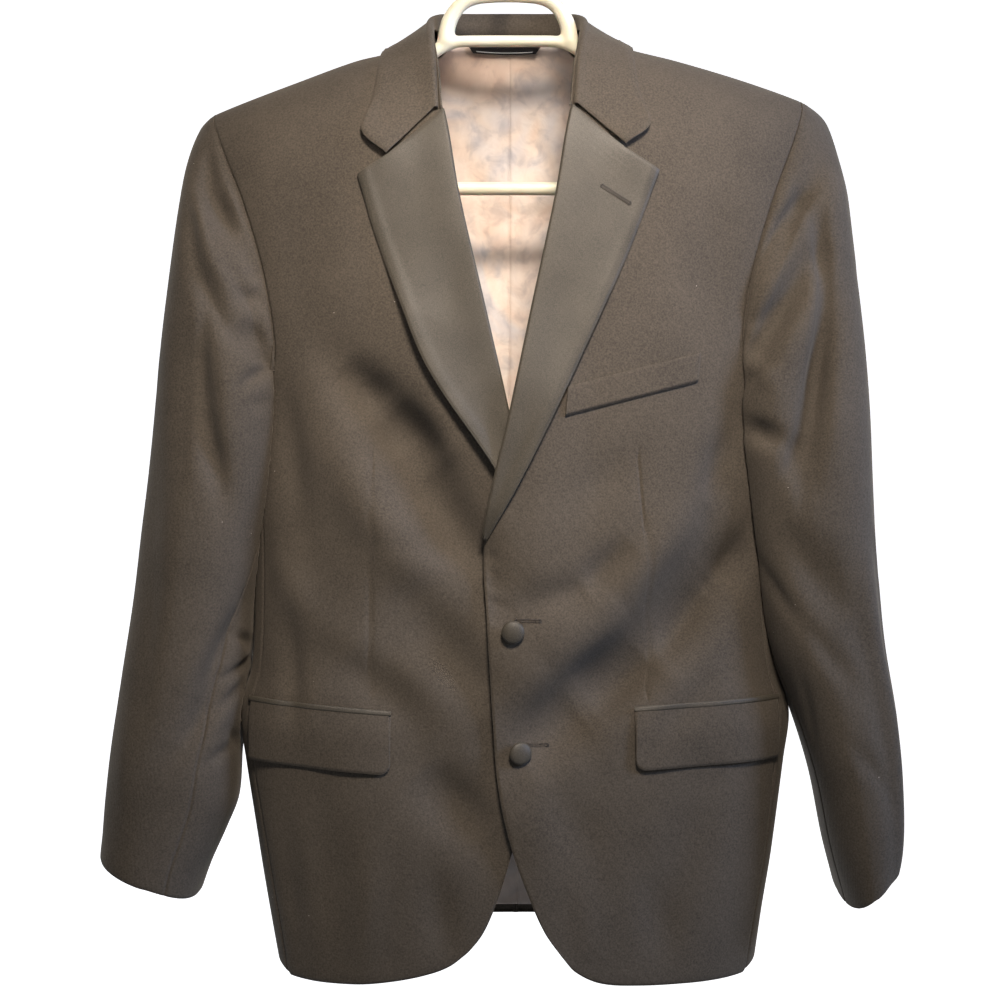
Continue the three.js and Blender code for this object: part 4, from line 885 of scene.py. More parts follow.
# sleeves: rows give the reach of each side from the jacket's middle by height
sleeve = {
    "squareness": 2.3,
    "clearance": 1.4,
    "proud": 0.9,
    "foldGain": 2.1,
    "allowance": ((3.4, -3.6), (1.2, -3.2), (-0.5, -1.3)),
    "arc": 0.95,
    "rows": 190,
    "cap": {
        "share": [0, 0.06, 0.17, 0.33, 0.52, 0.68, 0.83, 0.92, 1],
        "angle": [0, 20, 46, 74, 98, 118, 138, 152, 168],
    },
    "backAngle": 160,
    "headGain": 1.4,
    "parts": {
        "Top": {"start": -6, "end": 11, "columns": 120, "size": 190},
        "Under": {"start": 11, "end": 21, "columns": 62, "size": 120},
    },
    "press": {"top": (0.9, 2.6), "bottom": (0.8, 1.5)},
    "topCut": (0.27, 0.66),
    "topArea": 0.146,
    "underCut": (0.17, 0.6),
    "underArea": 0.072,
    1: {
        "word": "left",
        "rows": {
            "z": [-150, -172, -190, -223, -260, -323, -429, -486, -551, -620, -676, -727, -785, -828],
            "outer": [252, 259, 266, 273, 280, 285, 293, 296.5, 301.5, 307.5, 314, 317.5, 318.5, 310],
            "inner": [205, 203, 200, 195, 190, 184, 177, 186, 199, 212, 234, 250, 262, 274],
            "front": [-45, -50, -56, -64, -70, -74, -75, -73, -71, -70, -71, -72, -72, -70],
            "back": [45, 50, 54, 60, 64, 66, 64, 60, 56, 52, 50, 50, 51, 53],
        },
        "cuffZ": -812,
        "cuffOutward": 18,
        "cuffForward": -7,
        "frontSeam": (168, 166),
        "backSeam": (296, 300),
        "folds": [
            (40, -215, 112, -330, 13, 6),
            (60, -215, 128, -360, 11, -4),
            (60, -290, 130, -395, 13, 5),
            (52, -300, 96, -480, 20, 6),
            (30, -320, 50, -560, 24, -3),
            (120, -520, 80, -600, 18, 4),
            (52, -560, 44, -800, 11, -4),
            (250, -300, 300, -420, 18, 5),
            (230, -480, 290, -560, 18, 5),
            (260, -650, 275, -790, 18, 4),
        ],
        "creases": [
            (62, -250, 64, -340, 6, 1.8),
            (64, -340, 88, -440, 7, 2.4),
            (88, -440, 100, -505, 8, 2.0),
            (118, -395, 138, -412, 5, 1.6),
            (104, -455, 140, -440, 8, 1.6),
            (100, -300, 138, -330, 6, 1.2),
            (108, -350, 140, -372, 5, 1.4),
            (36, -530, 34, -800, 3.4, -1.2),
            (110, -600, 84, -650, 10, 1.6),
            (150, -560, 120, -600, 8, 1.6),
            (96, -700, 70, -730, 9, 1.2),
            (130, -640, 150, -700, 7, 1.0),
            (240, -520, 290, -548, 8, 1.8),
            (236, -610, 280, -640, 8, 1.6),
            (250, -360, 290, -400, 9, 1.8),
        ],
    },
    -1: {
        "word": "right",
        "rows": {
            "z": [
                -150, -182, -195, -223, -260, -306, -393, -420, -486,
                -527, -585, -640, -664, -708, -748, -774, -803, -828,
            ],
            "outer": [
                243, 249, 256.5, 264, 270, 276.5, 287.5, 290, 297,
                302, 308.5, 316.5, 320, 326.5, 331, 333, 335, 330,
            ],
            "inner": [
                205, 203, 200, 196, 191, 186, 179, 179, 189,
                198, 208, 213, 215, 220, 223, 233, 246, 255,
            ],
            "front": [
                -45, -50, -56, -64, -69, -72, -74, -74, -72,
                -70, -67, -65, -64, -62, -60, -59, -58, -57,
            ],
            "back": [45, 50, 54, 60, 64, 66, 65, 64, 60, 57, 53, 50, 48, 46, 44, 43, 42, 42],
        },
        "cuffZ": -811,
        "cuffOutward": 16,
        "cuffForward": -3,
        "frontSeam": (166, 110),
        "backSeam": (296, 256),
        "folds": [
            (44, -215, 108, -310, 13, 6),
            (52, -205, 130, -375, 12, -5),
            (96, -330, 138, -395, 11, 5),
            (66, -355, 72, -480, 18, 4),
            (150, -590, 112, -660, 12, 5),
            (142, -640, 100, -700, 12, 4),
            (40, -420, 50, -640, 24, 3),
            (250, -300, 300, -430, 18, 5),
            (235, -500, 285, -590, 18, 5),
        ],
        "creases": [
            (80, -345, 84, -400, 6, 1.6),
            (84, -400, 92, -455, 7, 2.2),
            (92, -455, 108, -505, 9, 1.8),
            (112, -385, 136, -392, 4, 1.5),
            (112, -412, 138, -396, 4, 1.6),
            (118, -428, 140, -424, 5, 0.9),
            (100, -290, 134, -300, 5, 1.2),
            (96, -312, 130, -326, 5, 1.3),
            (92, -336, 128, -350, 5, 1.2),
            (150, -612, 176, -622, 5, 1.8),
            (140, -646, 178, -634, 5, 2.0),
            (132, -672, 168, -650, 6, 1.8),
            (150, -690, 176, -706, 6, 1.6),
            (128, -712, 160, -700, 6, 1.4),
            (60, -560, 66, -660, 12, 1.0),
            (50, -680, 62, -760, 12, -0.9),
            (240, -540, 284, -566, 8, 1.8),
            (246, -640, 280, -664, 8, 1.6),
            (250, -350, 292, -392, 9, 1.8),
        ],
    },
}


# once round the armhole: q steps down the front, across the foot and up the back
def armholeLoop(side, q):
    frontLast = len(armhole["frontShares"]) - 1
    foot = armhole["footSteps"]
    backLast = len(armhole["backShares"]) - 1
    whole = frontLast + foot + backLast
    q = np.mod(q, whole)
    inFront = q <= frontLast
    inFoot = (q > frontLast) & (q < frontLast + foot)
    frontShare = np.interp(np.minimum(q, frontLast), np.arange(frontLast + 1), armhole["frontShares"])
    footShare = np.clip((q - frontLast) / foot, 0, 1)
    backShare = np.interp(np.minimum(whole - q, backLast), np.arange(backLast + 1), armhole["backShares"])
    frontX, frontW = armholePlaces(side, frontShare, 1)
    backX, backW = armholePlaces(side, backShare, -1)
    footZ = body["armholeFootZ"] - 6 * np.sin(math.pi * footShare)
    footPoint = sidePoint(side, footZ, footShare) + sideNormal(side, footZ, footShare) * sleeve["proud"]
    atFront = onBody(frontX, frontW, np.full(q.shape, sleeve["proud"]))
    atBack = onBody(backX, backW, np.full(q.shape, sleeve["proud"]))
    place = np.where(inFront[:, None], atFront, np.where(inFoot[:, None], footPoint, atBack))
    frontAngle = columnAt(sleeve["cap"], "share", frontShare, "angle")
    lowest = sleeve["cap"]["angle"][-1]
    backShrink = sleeve["backAngle"] / lowest
    backAngle = 360 - columnAt(sleeve["cap"], "share", backShare, "angle") * backShrink
    footAngle = lerp(lowest, 360 - sleeve["backAngle"], footShare)
    angle = np.where(inFront, frontAngle, np.where(inFoot, footAngle, backAngle))
    return place, angle


# the sleeve's section at a height: a square with well rounded corners
def sleeveSection(form, angle, z):
    columns = ("outer", "inner", "front", "back")
    outer, inner, frontY, backY = (columnAt(form["rows"], "z", z, column) for column in columns)
    turn = np.radians(angle)
    power = 2 / sleeve["squareness"]
    x = (outer + inner) / 2 + ((outer - inner) / 2) * signedPower(np.cos(turn), power)
    y = (frontY + backY) / 2 - ((backY - frontY) / 2) * signedPower(np.sin(turn), power)
    return x, y


# moves places that are inside the body out to its surface and the clearance
def clearOfBody(points, clearance):
    x, y, z = points[..., 0], points[..., 1], points[..., 2]
    middle = bodyAt(z, "middle")
    half = bodyAt(z, "half") + clearance
    depth = np.where(y < 0, bodyAt(z, "front"), bodyAt(z, "back")) + clearance
    power = body["sectionPower"]
    reach = (np.abs(x - middle) / half) ** power + (np.abs(y) / depth) ** power
    grow = np.where(reach < 1, (1 / np.maximum(reach, 1e-6)) ** (1 / power), 1.0)
    return point(middle + (x - middle) * grow, y * grow, z)


# folds placed by angle and height, with the angle as mm round the sleeve's front
def roundSleeve(folds):
    arc = sleeve["arc"]
    return [(a * arc, b, c * arc, d, e, f) for a, b, c, d, e, f in folds]


# the sleeve leaves the armhole's line and takes its own section as it falls
def sleeveGrid(side, q, v):
    form = sleeve[side]
    place, angle = armholeLoop(side, q)
    place, angle = place[None, :, :], angle[None, :]
    v = v[:, None]
    blend = smooth(v, 0.15, 0.85)
    firstFront, firstBack = form["frontSeam"][0], form["backSeam"][0]
    frontSeam = lerp(*form["frontSeam"], blend)
    backSeam = lerp(*form["backSeam"], blend)
    between = lerp(frontSeam, backSeam, (angle - firstFront) / (firstBack - firstFront))
    beyond = lerp(backSeam, 360, (angle - firstBack) / (360 - firstBack))
    turned = np.where(angle <= firstBack, between, beyond)
    turned = np.where(angle <= firstFront, angle * frontSeam / firstFront, turned)
    turn = np.radians(turned)
    cuff = form["cuffZ"] + form["cuffOutward"] * np.cos(turn) + form["cuffForward"] * np.sin(turn)
    z = lerp(place[..., 2], cuff, v)
    thereX, thereY = sleeveSection(form, turned, z)
    startX, startY = sleeveSection(form, angle, place[..., 2])
    fallen = place[..., 2] - z
    reach = lerp(9, 42, np.abs(np.sin(np.radians(angle))))
    keep = np.exp(-((np.maximum(fallen, 0) / reach) ** 1.4))
    arc = turned * sleeve["arc"]
    fold = foldDepth(roundSleeve(form["folds"]), arc, z) * smooth(fallen, 6, 34)
    crease = foldDepth(roundSleeve(form["creases"]), arc, z) * smooth(fallen, 3, 16)
    fold = sleeve["foldGain"] * (fold + crease)
    x = thereX + (side * place[..., 0] - startX) * keep - fold * np.cos(turn)
    y = thereY + (place[..., 1] - startY) * keep + fold * np.sin(turn)
    placed = point(side * x, y, z)
    clear = clearOfBody(placed, np.minimum(sleeve["clearance"], sleeve["proud"] + 0.12 * fallen))
    near = smooth(-z, 370, 404)[..., None] * smooth(fallen, 0, 14)[..., None]
    return lerp(placed, clear, near)


# folds of the sleeve heads as seen from the front: x, z, x, z, width, depth
sleeveFolds = {
    -1: [
        (-243, -222, -239, -255, 6, 2.6),
        (-239, -255, -218, -294, 8, 5.0),
        (-226, -240, -211, -286, 8, -2.4),
        (-249, -262, -239, -303, 7, -2.8),
        (-239, -303, -217, -350, 9, -3.8),
        (-217, -350, -200, -363, 8, -2.8),
        (-256, -272, -247, -318, 8, 2.6),
        (-247, -318, -222, -366, 9, 3.8),
        (-222, -366, -200, -382, 9, 3.2),
        (-214, -311, -201, -306, 3, 1.4),
        (-211, -326, -198, -320, 3, 1.4),
        (-207, -341, -196, -336, 3, 1.2),
        (-244, -382, -243, -430, 7, 3.0),
        (-243, -430, -228, -492, 9, 3.4),
        (-211, -411, -194, -397, 4, 2.0),
        (-222, -420, -214, -470, 14, -2.2),
    ],
    1: [
        (205, -299, 242, -255, 7, 4.2),
        (196, -362, 246, -262, 8, -3.6),
        (203, -377, 236, -318, 9, 4.0),
        (190, -388, 208, -412, 8, -2.8),
        (190, -447, 215, -458, 8, 4.0),
        (250, -262, 251, -367, 7, 2.8),
        (251, -367, 237, -452, 8, 3.8),
        (237, -452, 218, -487, 9, 3.4),
        (262, -380, 256, -470, 10, -2.2),
    ],
}


def sleeveNormal(side, q, v):
    across = sleeveGrid(side, q + 0.1, v) - sleeveGrid(side, q - 0.1, v)
    low, high = np.minimum(v + 0.002, 1), np.maximum(v - 0.002, 0)
    down = sleeveGrid(side, q, low) - sleeveGrid(side, q, high)
    return side * unit(np.cross(across, down))


# the seam allowance turns in under the panels round the armhole
def sleeveAllowance(side, q):
    place = armholeLoop(side, q)[0]
    along = armholeLoop(side, q + 0.05)[0] - armholeLoop(side, q - 0.05)[0]
    x, y, z = place[:, 0], place[:, 1], place[:, 2]
    outX = np.sign(x) * np.maximum(np.abs(x) - 150, 0) * 0.25
    out = unit(point(outX, y, np.where(z > -300, 14.0, 0.0)))
    inboard = -side * unit(np.cross(out, along))
    return np.stack([place + inboard * reach + out * lift for reach, lift in sleeve["allowance"]])


def sleevePieces(side):
    form = sleeve[side]
    v = shares(sleeve["rows"], 600)
    v = np.unique(np.concatenate([v, np.linspace(0, 0.08, 26)]))
    pieces = []
    for word, part in sleeve["parts"].items():
        q = lerp(part["start"], part["end"], shares(part["columns"], part["size"]))
        base = sleeveGrid(side, q, v)
        normal = sleeveNormal(side, q, v)
        edges = borderDistances(base)
        fine = seamDip(edges["first"]) + seamDip(edges["last"]) + pressed(edges, sleeve["press"])
        inside = smooth(edges["top"], 1, 12) * smooth(edges["first"], 2, 14) * smooth(edges["last"], 2, 14)
        folds = foldDepth(sleeveFolds[side], base[..., 0], base[..., 2])
        fine = fine - sleeve["headGain"] * folds * smooth(-normal[..., 1], 0.1, 0.6) * inside
        name = form["word"] + word + "Sleeve"
        node = word.lower() + "_sleeve_" + form["word"]
        face = np.concatenate([sleeveAllowance(side, q), base + normal * fine[..., None]])
        normal = np.concatenate([np.zeros((len(sleeve["allowance"]), len(q), 3)), normal])
        piece = clothPiece(name, face, wallSizes["sleeve"], wool, normal, node)
        pieces.append(piece)
    return pieces


sleeves = sleevePieces(1) + sleevePieces(-1)
print("sleeves hung")

# lapels: from inside the roll line round its edge and out over the front
lapel = {
    "columns": 46,
    "rows": 130,
    "wide": 70,
    "long": 330,
    "roll": 2.6,
    "cut": (0.105, 0.36),
    "area": 0.0192,
    "lift": 4.2,
    "noseX": 103,
    "noseZ": -223,
    "noseWide": 27,
    "press": {"last": (0.9, 1.5), "top": (0.5, 2.2)},
    "rollTurns": (200, 180, 155, 130, 105, 80, 55, 30, 12),
    1: {
        "raise": 3.5,
        "gorge": (50, -193.8),
        "notch": (91, -227.3),
        "tip": (118.7, -243.8),
        "belly": {"z": [-243.8, -308, -366, -424, -487, -536], "x": [118.7, 94.5, 68, 41, 9.5, -17.5]},
    },
    -1: {
        "raise": 7.0,
        "gorge": (53, -197.1),
        "notch": (95, -232.3),
        "tip": (118.4, -247),
        "belly": {"z": [-247, -296, -350, -400, -480, -524], "x": [118.4, 104, 83.5, 62, 8.5, -14]},
    },
}


# collar end and lapel tip both stand a little off the front round the notch
def notchLift(x, z):
    away = (np.abs(x) - lapel["noseX"]) ** 2 + (z - lapel["noseZ"]) ** 2
    return lapel["lift"] * np.exp(-away / lapel["noseWide"] ** 2)


# where the notch is on the lapel's top edge, as a share of it
def notchAlong(form):
    return (form["notch"][0] - form["gorge"][0]) / (form["tip"][0] - form["gorge"][0])


# x and z over a lapel: u from the roll line to its edge, v from the gorge down
def lapelPlace(side, u, v):
    form = lapel[side]
    edge = frontEdges[side]["edge"]
    endZ = form["belly"]["z"][-1]
    rollZ = lerp(form["gorge"][1], endZ + 2, v)
    rollX = columnAt(edge, "z", rollZ, "x")
    edgeZ = lerp(form["tip"][1], endZ, v**1.08)
    edgeX = columnAt(form["belly"], "z", edgeZ, "x")
    bend = (1 - v) ** 6
    notchShare = notchAlong(form)
    toNotch = lerp(form["gorge"][1], form["notch"][1], u / notchShare)
    toTip = lerp(form["notch"][1], form["tip"][1], (u - notchShare) / (1 - notchShare))
    topZ = np.where(u < notchShare, toNotch, toTip)
    x = lerp(rollX, np.maximum(edgeX, rollX + 1.5), u)
    z = lerp(rollZ, edgeZ, u) + bend * (topZ - lerp(form["gorge"][1], form["tip"][1], u))
    return side * x, z


def lapelPiece(side):
    form = lapel[side]
    close = (notchAlong(form), 0.012, 0.03, 0.05, 0.07)
    u = shares(lapel["columns"], lapel["wide"], start=False, extra=close)[None, :]
    v = shares(lapel["rows"], lapel["long"], end=False)[:, None]
    x, z = lapelPlace(side, u + 0 * v, v + 0 * u)
    w = wayDown(x, z)
    rollLift = 3.2 * hump(u, 0.3) * (1 - 0.8 * v)
    free = form["raise"] * u**2 * smooth(v, 0.22, 0.5) * (1 - smooth(v, 0.86, 0.99))
    lift = frontLift(side, x, z) + wallSizes["layerGap"] + wallSizes["satin"]
    lift = lift + rollLift + free + notchLift(x, z)
    normal = bodyNormal(x, w)
    face = onBody(x, w, lift)
    edges = borderDistances(face)
    press = pressed(edges, lapel["press"]) + 0.5 * hump(edges["last"], 4, 7)
    face = face + normal * press[..., None]
    # the roll: a half turn from the face's first column back to the inside of the front
    start, out = face[:, 0], normal[:, 0]
    inward = unit(face[:, 0] - face[:, 1])
    radius = lapel["roll"]
    turns = []
    for degrees in lapel["rollTurns"]:
        angle = math.radians(degrees)
        under = start - out * radius * (1 - math.cos(angle))
        turns.append(under + inward * radius * math.sin(angle) * 0.9)
    whole = np.concatenate([np.stack(turns, axis=1), face], axis=1)
    normals = np.concatenate([np.zeros((len(face), len(turns), 3)), normal], axis=1)
    word = "left" if side > 0 else "right"
    piece = clothPiece(word + "Lapel", whole, wallSizes["satin"], satin, normals, "lapel_" + word)
    return piece


lapels = [lapelPiece(side) for side in (1, -1)]
print("lapels rolled")

collar = {
    "steps": 150,
    "foldHalf": 3.2,
    "leafSteps": 22,
    "nearEnd": (7.8, 7.9, 7.97),
    "nearEdge": (0.93, 0.965, 0.985, 0.995),
    "openAngle": 64,
    "middleX": -1.7,
    "fall": 1.4,
    "press": {"bottom": (0.9, 1.5), "first": (0.6, 1.5), "last": (0.6, 1.5)},
    "cut": (0.534, 0.086),
    "area": 0.033,
    "rows": {
        "at": [0, 1, 2, 3, 4, 5, 6, 7, 8],
        "foldX": [0, 27, 48, 59.5, 64, 62.5, 59, 57, 55.4],
        "foldY": [49, 46.5, 37, 19, -4, -32, -57, -69, -75],
        "foldZ": [-84, -84.8, -87.5, -93.5, -104, -122, -149, -172, -191.5],
        "standX": [0, 27, 46, 58.5, 63, 61.5, 58, 56, 54.4],
        "standZ": [-113.4, -113.4, -113, -112, -113, -127, -153, -175, -193.5],
        "edgeX": [0, 36, 68, 91, 102, 103, 106, 113.3, 93.2],
        "edgeW": [-67, -57, -44, -22, 8, 42, 76, 96.3, 111.8],
    },
}


# keeps the collar's leaf off the shoulder that it lies on
def clearOfShoulder(points, lift):
    x, y, z = points[..., 0], points[..., 1], points[..., 2]
    face = np.where(y < 0, 1, -1)
    w = wayDown(x, z, 1) * face
    under = bodyPoint(x, w)
    normal = bodyNormal(x, w)
    height = np.sum((points - under) * normal, axis=-1)
    push = np.where((z < ridgeZ(x)) & (height < lift), lift - height, 0)
    return points + normal * push[..., None]


def collarPiece():
    rows, last, half = collar["rows"], 8, collar["foldHalf"]
    even = np.linspace(-last, last, collar["steps"] + 1)
    along = np.unique(np.round(np.concatenate([even, *([-at, at] for at in collar["nearEnd"])]), 4))
    side = np.where(along < 0, -1.0, 1.0)
    value = lambda column: columnAt(rows, "at", np.abs(along), column)
    shift = collar["middleX"] * smooth(np.abs(along), 3, 6)
    fall = side * collar["fall"] * smooth(np.abs(along), 6, last)
    fold = point(side * value("foldX") + shift, value("foldY"), value("foldZ") + fall)
    edgeX, edgeW = side * value("edgeX") + shift, value("edgeW") - fall / 1.5
    lift = lerp(2.0, wallSizes["layerGap"] + 2.2, smooth(np.abs(along), 5, 6.6))
    edge = onBody(edgeX, edgeW, lift + notchLift(edgeX, heightAt(edgeX, edgeW)) * (edgeW > 40))
    tangent = np.gradient(fold, along, axis=0)
    out = unit(point(-tangent[:, 1], tangent[:, 0], 0 * side))
    up = unit(np.cross(out, tangent))
    up = up * np.where(up[:, 2:] < 0, -1, 1)
    ending = np.radians(lerp(0, collar["openAngle"], smooth(np.abs(along), 4.2, 6.2)))[:, None]
    stand = point(side * value("standX") + shift, fold[:, 1], value("standZ") + fall) - out * half
    inner = fold - out * half - up * half
    strip = [lerp(stand, inner, share) for share in (0, 0.15, 0.3, 0.45, 0.62, 0.8)]
    for share in np.linspace(0, 1, 11):
        angle = lerp(math.pi, ending, share)
        strip.append(fold + out * half * np.cos(angle) + up * half * (np.sin(angle) - 1))
    leafTop = strip.pop()
    away = out * np.sin(ending) - up * np.cos(ending)
    bendSpot = lerp(leafTop, edge, 0.4)
    deep = (leafTop + away * 0.3 * np.linalg.norm(edge - leafTop, axis=1, keepdims=True))[:, 1]
    bendSpot[:, 1] = lerp(bendSpot[:, 1], deep, smooth(np.abs(along), 4.6, 6.2))
    even = np.linspace(0, 1, collar["leafSteps"] + 1)
    leaf = np.unique(np.round(np.concatenate([even, collar["nearEdge"]]), 4))
    for share in leaf:
        bent = (1 - share) ** 2 * leafTop + 2 * share * (1 - share) * bendSpot + share**2 * edge
        strip.append(clearOfShoulder(bent, lift))
    points = np.stack(strip, axis=0)
    across, down = np.gradient(points, axis=1), np.gradient(points, axis=0)
    normal = unit(np.cross(across, down))
    edges = borderDistances(points)
    press = pressed(edges, collar["press"]) + 0.5 * hump(edges["bottom"], 5, 9)
    points = points + normal * press[..., None]
    piece = clothPiece("collarLeafAndStand", points, wallSizes["collar"], wool, normal, "collar")
    return piece


collarCloth = collarPiece()
print("collar folded")


# pockets: the jet lies over the top edge of its flap
pocket = {
    "jetHigh": 4.4,
    "long": 140,
    "flapDeep": 46,
    "flapUnder": 1.2,
    "corner": 9,
    "flapCut": (0.15, 0.048),
    "jetCut": (0.125, 0.01),
    "jetArea": 0.0006,
    "weltCut": (0.118, 0.026),
    "flapPress": {"bottom": (0.9, 1.4), "first": (0.9, 1.4), "last": (0.9, 1.4)},
    "weltPress": {"bottom": (1.6, 1.3), "last": (1.0, 1.3), "top": (0.5, 1.2)},
    1: {"x": 100.5, "z": -666.5, "toX": 219, "toZ": -660.5},
    -1: {"x": -93.5, "z": -670.5, "toX": -209, "toZ": -662},
    "welt": {"x": 46.8, "z": -413.6, "toX": 152.5, "toZ": -386, "deep": 23.5, "lean": 2},
}


# a strip on a front, under a line, with round lower corners or a lean
def patchGrid(line, deep, lift, u, v, corner=0, lean=0):
    long = abs(line["toX"] - line["x"])
    along = u * long
    inside = np.minimum(along, corner)
    cut = corner - np.sqrt(np.maximum(corner**2 - (corner - inside) ** 2, 0)) if corner else 0
    x = lerp(line["x"], line["toX"], u) - lean * v
    z = lerp(line["z"], line["toZ"], u) - (deep - cut) * v
    w = wayDown(x, z)
    side = 1 if line["toX"] > 0 else -1
    return onBody(x, w, frontLift(side, x, z) + lift), bodyNormal(x, w), x, z


def pocketPieces(side):
    word = "left" if side > 0 else "right"
    line = pocket[side]
    lift = wallSizes["layerGap"] + wallSizes["satin"]
    u = shares(60, pocket["long"], extra=(0.004, 0.012, 0.024))[None, :]
    v = shares(12, 5, start=False, end=False)[:, None]
    jet, normal, x, z = patchGrid(line, pocket["jetHigh"], lift - 0.3, u + 0 * v, v + 0 * u)
    jet = jet + normal * (-0.9 * (2 * v - 1) ** 4 + 0.3)[..., None]
    jetPiece = clothPiece(word + "Jet", jet, wallSizes["satin"], satin, normal, "jet_" + word)
    drop = pocket["jetHigh"] - pocket["flapUnder"]
    flapLine = dict(line, z=line["z"] - drop, toZ=line["toZ"] - drop)
    u = shares(76, pocket["long"], extra=np.linspace(0, 0.07, 14))[None, :]
    v = shares(30, pocket["flapDeep"])[:, None]
    deep = pocket["flapDeep"] + 1.7
    flap, normal, x, z = patchGrid(flapLine, deep, lift - 0.7, u + 0 * v, v + 0 * u, pocket["corner"])
    edges = borderDistances(flap)
    stand = 1.6 * smooth(v, 0, 0.5) + 0.8 * np.sin(u * 9 + side) * v**2
    flap = flap + normal * (pressed(edges, pocket["flapPress"]) + stand)[..., None]
    flapPiece = clothPiece(word + "Flap", flap, wallSizes["wool"], wool, normal, "flap_" + word)
    return [jetPiece, flapPiece]


pockets = pocketPieces(1) + pocketPieces(-1)


def weltPiece():
    line = pocket["welt"]
    lift = wallSizes["layerGap"] + wallSizes["wool"]
    u, v = shares(56, 108)[None, :], shares(16, 23)[:, None]
    face, normal, x, z = patchGrid(line, line["deep"], lift, u + 0 * v, v + 0 * u, lean=line["lean"])
    edges = borderDistances(face)
    press = pressed(edges, pocket["weltPress"]) - 0.25 * hump(edges["last"], 0.8, 2.4)
    face = face + normal * press[..., None]
    piece = clothPiece("breastWelt", face, wallSizes["wool"], wool, normal, "breast_welt")
    return piece


breastWelt = weltPiece()
print("pockets sewn")

# lining of the back, hung loose, with its seam, a pleat and soft creases
liningCloth = {
    "seamX": 1.8,
    "topGap": 2,
    "gap": 4,
    "hemZ": -853,
    "cut": (0.186, 0.815),
    "area": 0.128,
    "creases": [
        (-28, -128, -33, -160, 4, 1.6),
        (-33, -160, -28, -182, 4, 1.3),
        (-20, -150, -24, -190, 5, -1.2),
        (-44, -134, -40, -160, 5, 1.2),
        (-12, -170, -22, -205, 6, 0.9),
        (52, -130, 46, -146, 4, 1.6),
        (60, -126, 54, -150, 3.5, -1.2),
        (40, -128, 34, -140, 4, 1.0),
        (46, -150, 30, -190, 8, 1.2),
        (16, -180, 34, -215, 9, 1.0),
        (-30, -215, -6, -250, 9, 1.1),
        (10, -262, 12, -300, 2.4, 1.4),
        (14, -262, 17, -310, 3, -1.0),
        (-26, -270, 4, -300, 8, 1.2),
        (-20, -300, 18, -330, 8, 1.1),
        (6, -330, -6, -380, 7, 0.9),
        (-6, -850, 20, -830, 9, 1.2),
    ],
}


# the lining hangs inside the back, a gap away from it
def liningGrid(side, u, v):
    topZ = body["neckBackZ"] - 4 * smooth(u, 0.5, 1)
    z = lerp(topZ, liningCloth["hemZ"], v)
    middle = liningCloth["seamX"] + bodyAt(z, "middle") * smooth(-z, 400, 560)
    reach = lerp(50, 176, smooth(-z, 114, 190))
    x = lerp(middle, side * reach, u)
    w = np.minimum(wayDown(x, z, -1), -lerp(13, 22, smooth(-z, 112, 122)))
    gap = lerp(liningCloth["topGap"], liningCloth["gap"], smooth(-z, 140, 300))
    return onBody(x, w, -(wallSizes["wool"] + gap)), bodyNormal(x, w), x, z


def liningPiece(side):
    u, v = shares(70, 170, end=False)[None, :], shares(200, 740, start=False)[:, None]
    face, normal, x, z = liningGrid(side, u + 0 * v, v + 0 * u)
    edges = borderDistances(face)
    crumple = 0.5 * np.sin(x / 9 + np.sin(z / 17) * 2) * np.sin(z / 23 + x / 31)
    inward = foldDepth(liningCloth["creases"], x, z) + crumple * smooth(u, 0, 0.1)
    fine = inward + 0.9 * hump(edges["first"], 1.3)
    face = face + normal * (fine * smooth(v, 0, 0.03))[..., None]
    word = "left" if side > 0 else "right"
    piece = clothPiece(word + "Lining", face, wallSizes["lining"], lining, normal, "lining_" + word)
    return piece


linings = [liningPiece(side) for side in (1, -1)]

label = {
    "topHalf": 36,
    "bottomHalf": 29,
    "topZ": -111.4,
    "bottomZ": -118.8,
    "middleX": -3,
    "wall": 0.8,
    "cut": (0.074, 0.0125),
}


# the label lies on the lining under the collar
def labelGrid(u, v, lift):
    half = lerp(label["topHalf"], label["bottomHalf"], v)
    x = lerp(-half, half, u) + label["middleX"]
    w = wayDown(x, lerp(label["topZ"], label["bottomZ"], v), -1)
    under = wallSizes["wool"] + liningCloth["topGap"] + wallSizes["lining"] + 1.4
    return onBody(x, w, -under - lift + 0 * x), bodyNormal(x, w)


def labelPieces():
    u, v = shares(40, 70, start=False, end=False)[None, :], shares(10, 12, start=False, end=False)[:, None]
    face, normal = labelGrid(u + 0 * v, v + 0 * u, 0)
    cloth = clothPiece("wovenLabel", face, label["wall"], labelSatin, normal, "label")
    v = np.linspace(0.74, 0.83, 4)[:, None]
    face, normal = labelGrid(lerp(0.07, 0.93, u) + 0 * v, v + 0 * u, label["wall"] + 0.25)
    line = clothPiece("labelLine", face, 0.2, labelThread, normal, None)
    return [cloth, line]


labels = labelPieces()
print("lining and label hung")

# buttons: satin stretched over a domed mould, with the cloth gathered at the back
button = {
    "radius": 9.1,
    "thick": 5.2,
    "shank": 2.6,
    "shankLong": 2.2,
    "steps": 48,
    "upper": {"x": 4, "z": -607, "tilt": 0.0},
    "lower": {"x": 8.7, "z": -703, "tilt": 0.3},
}


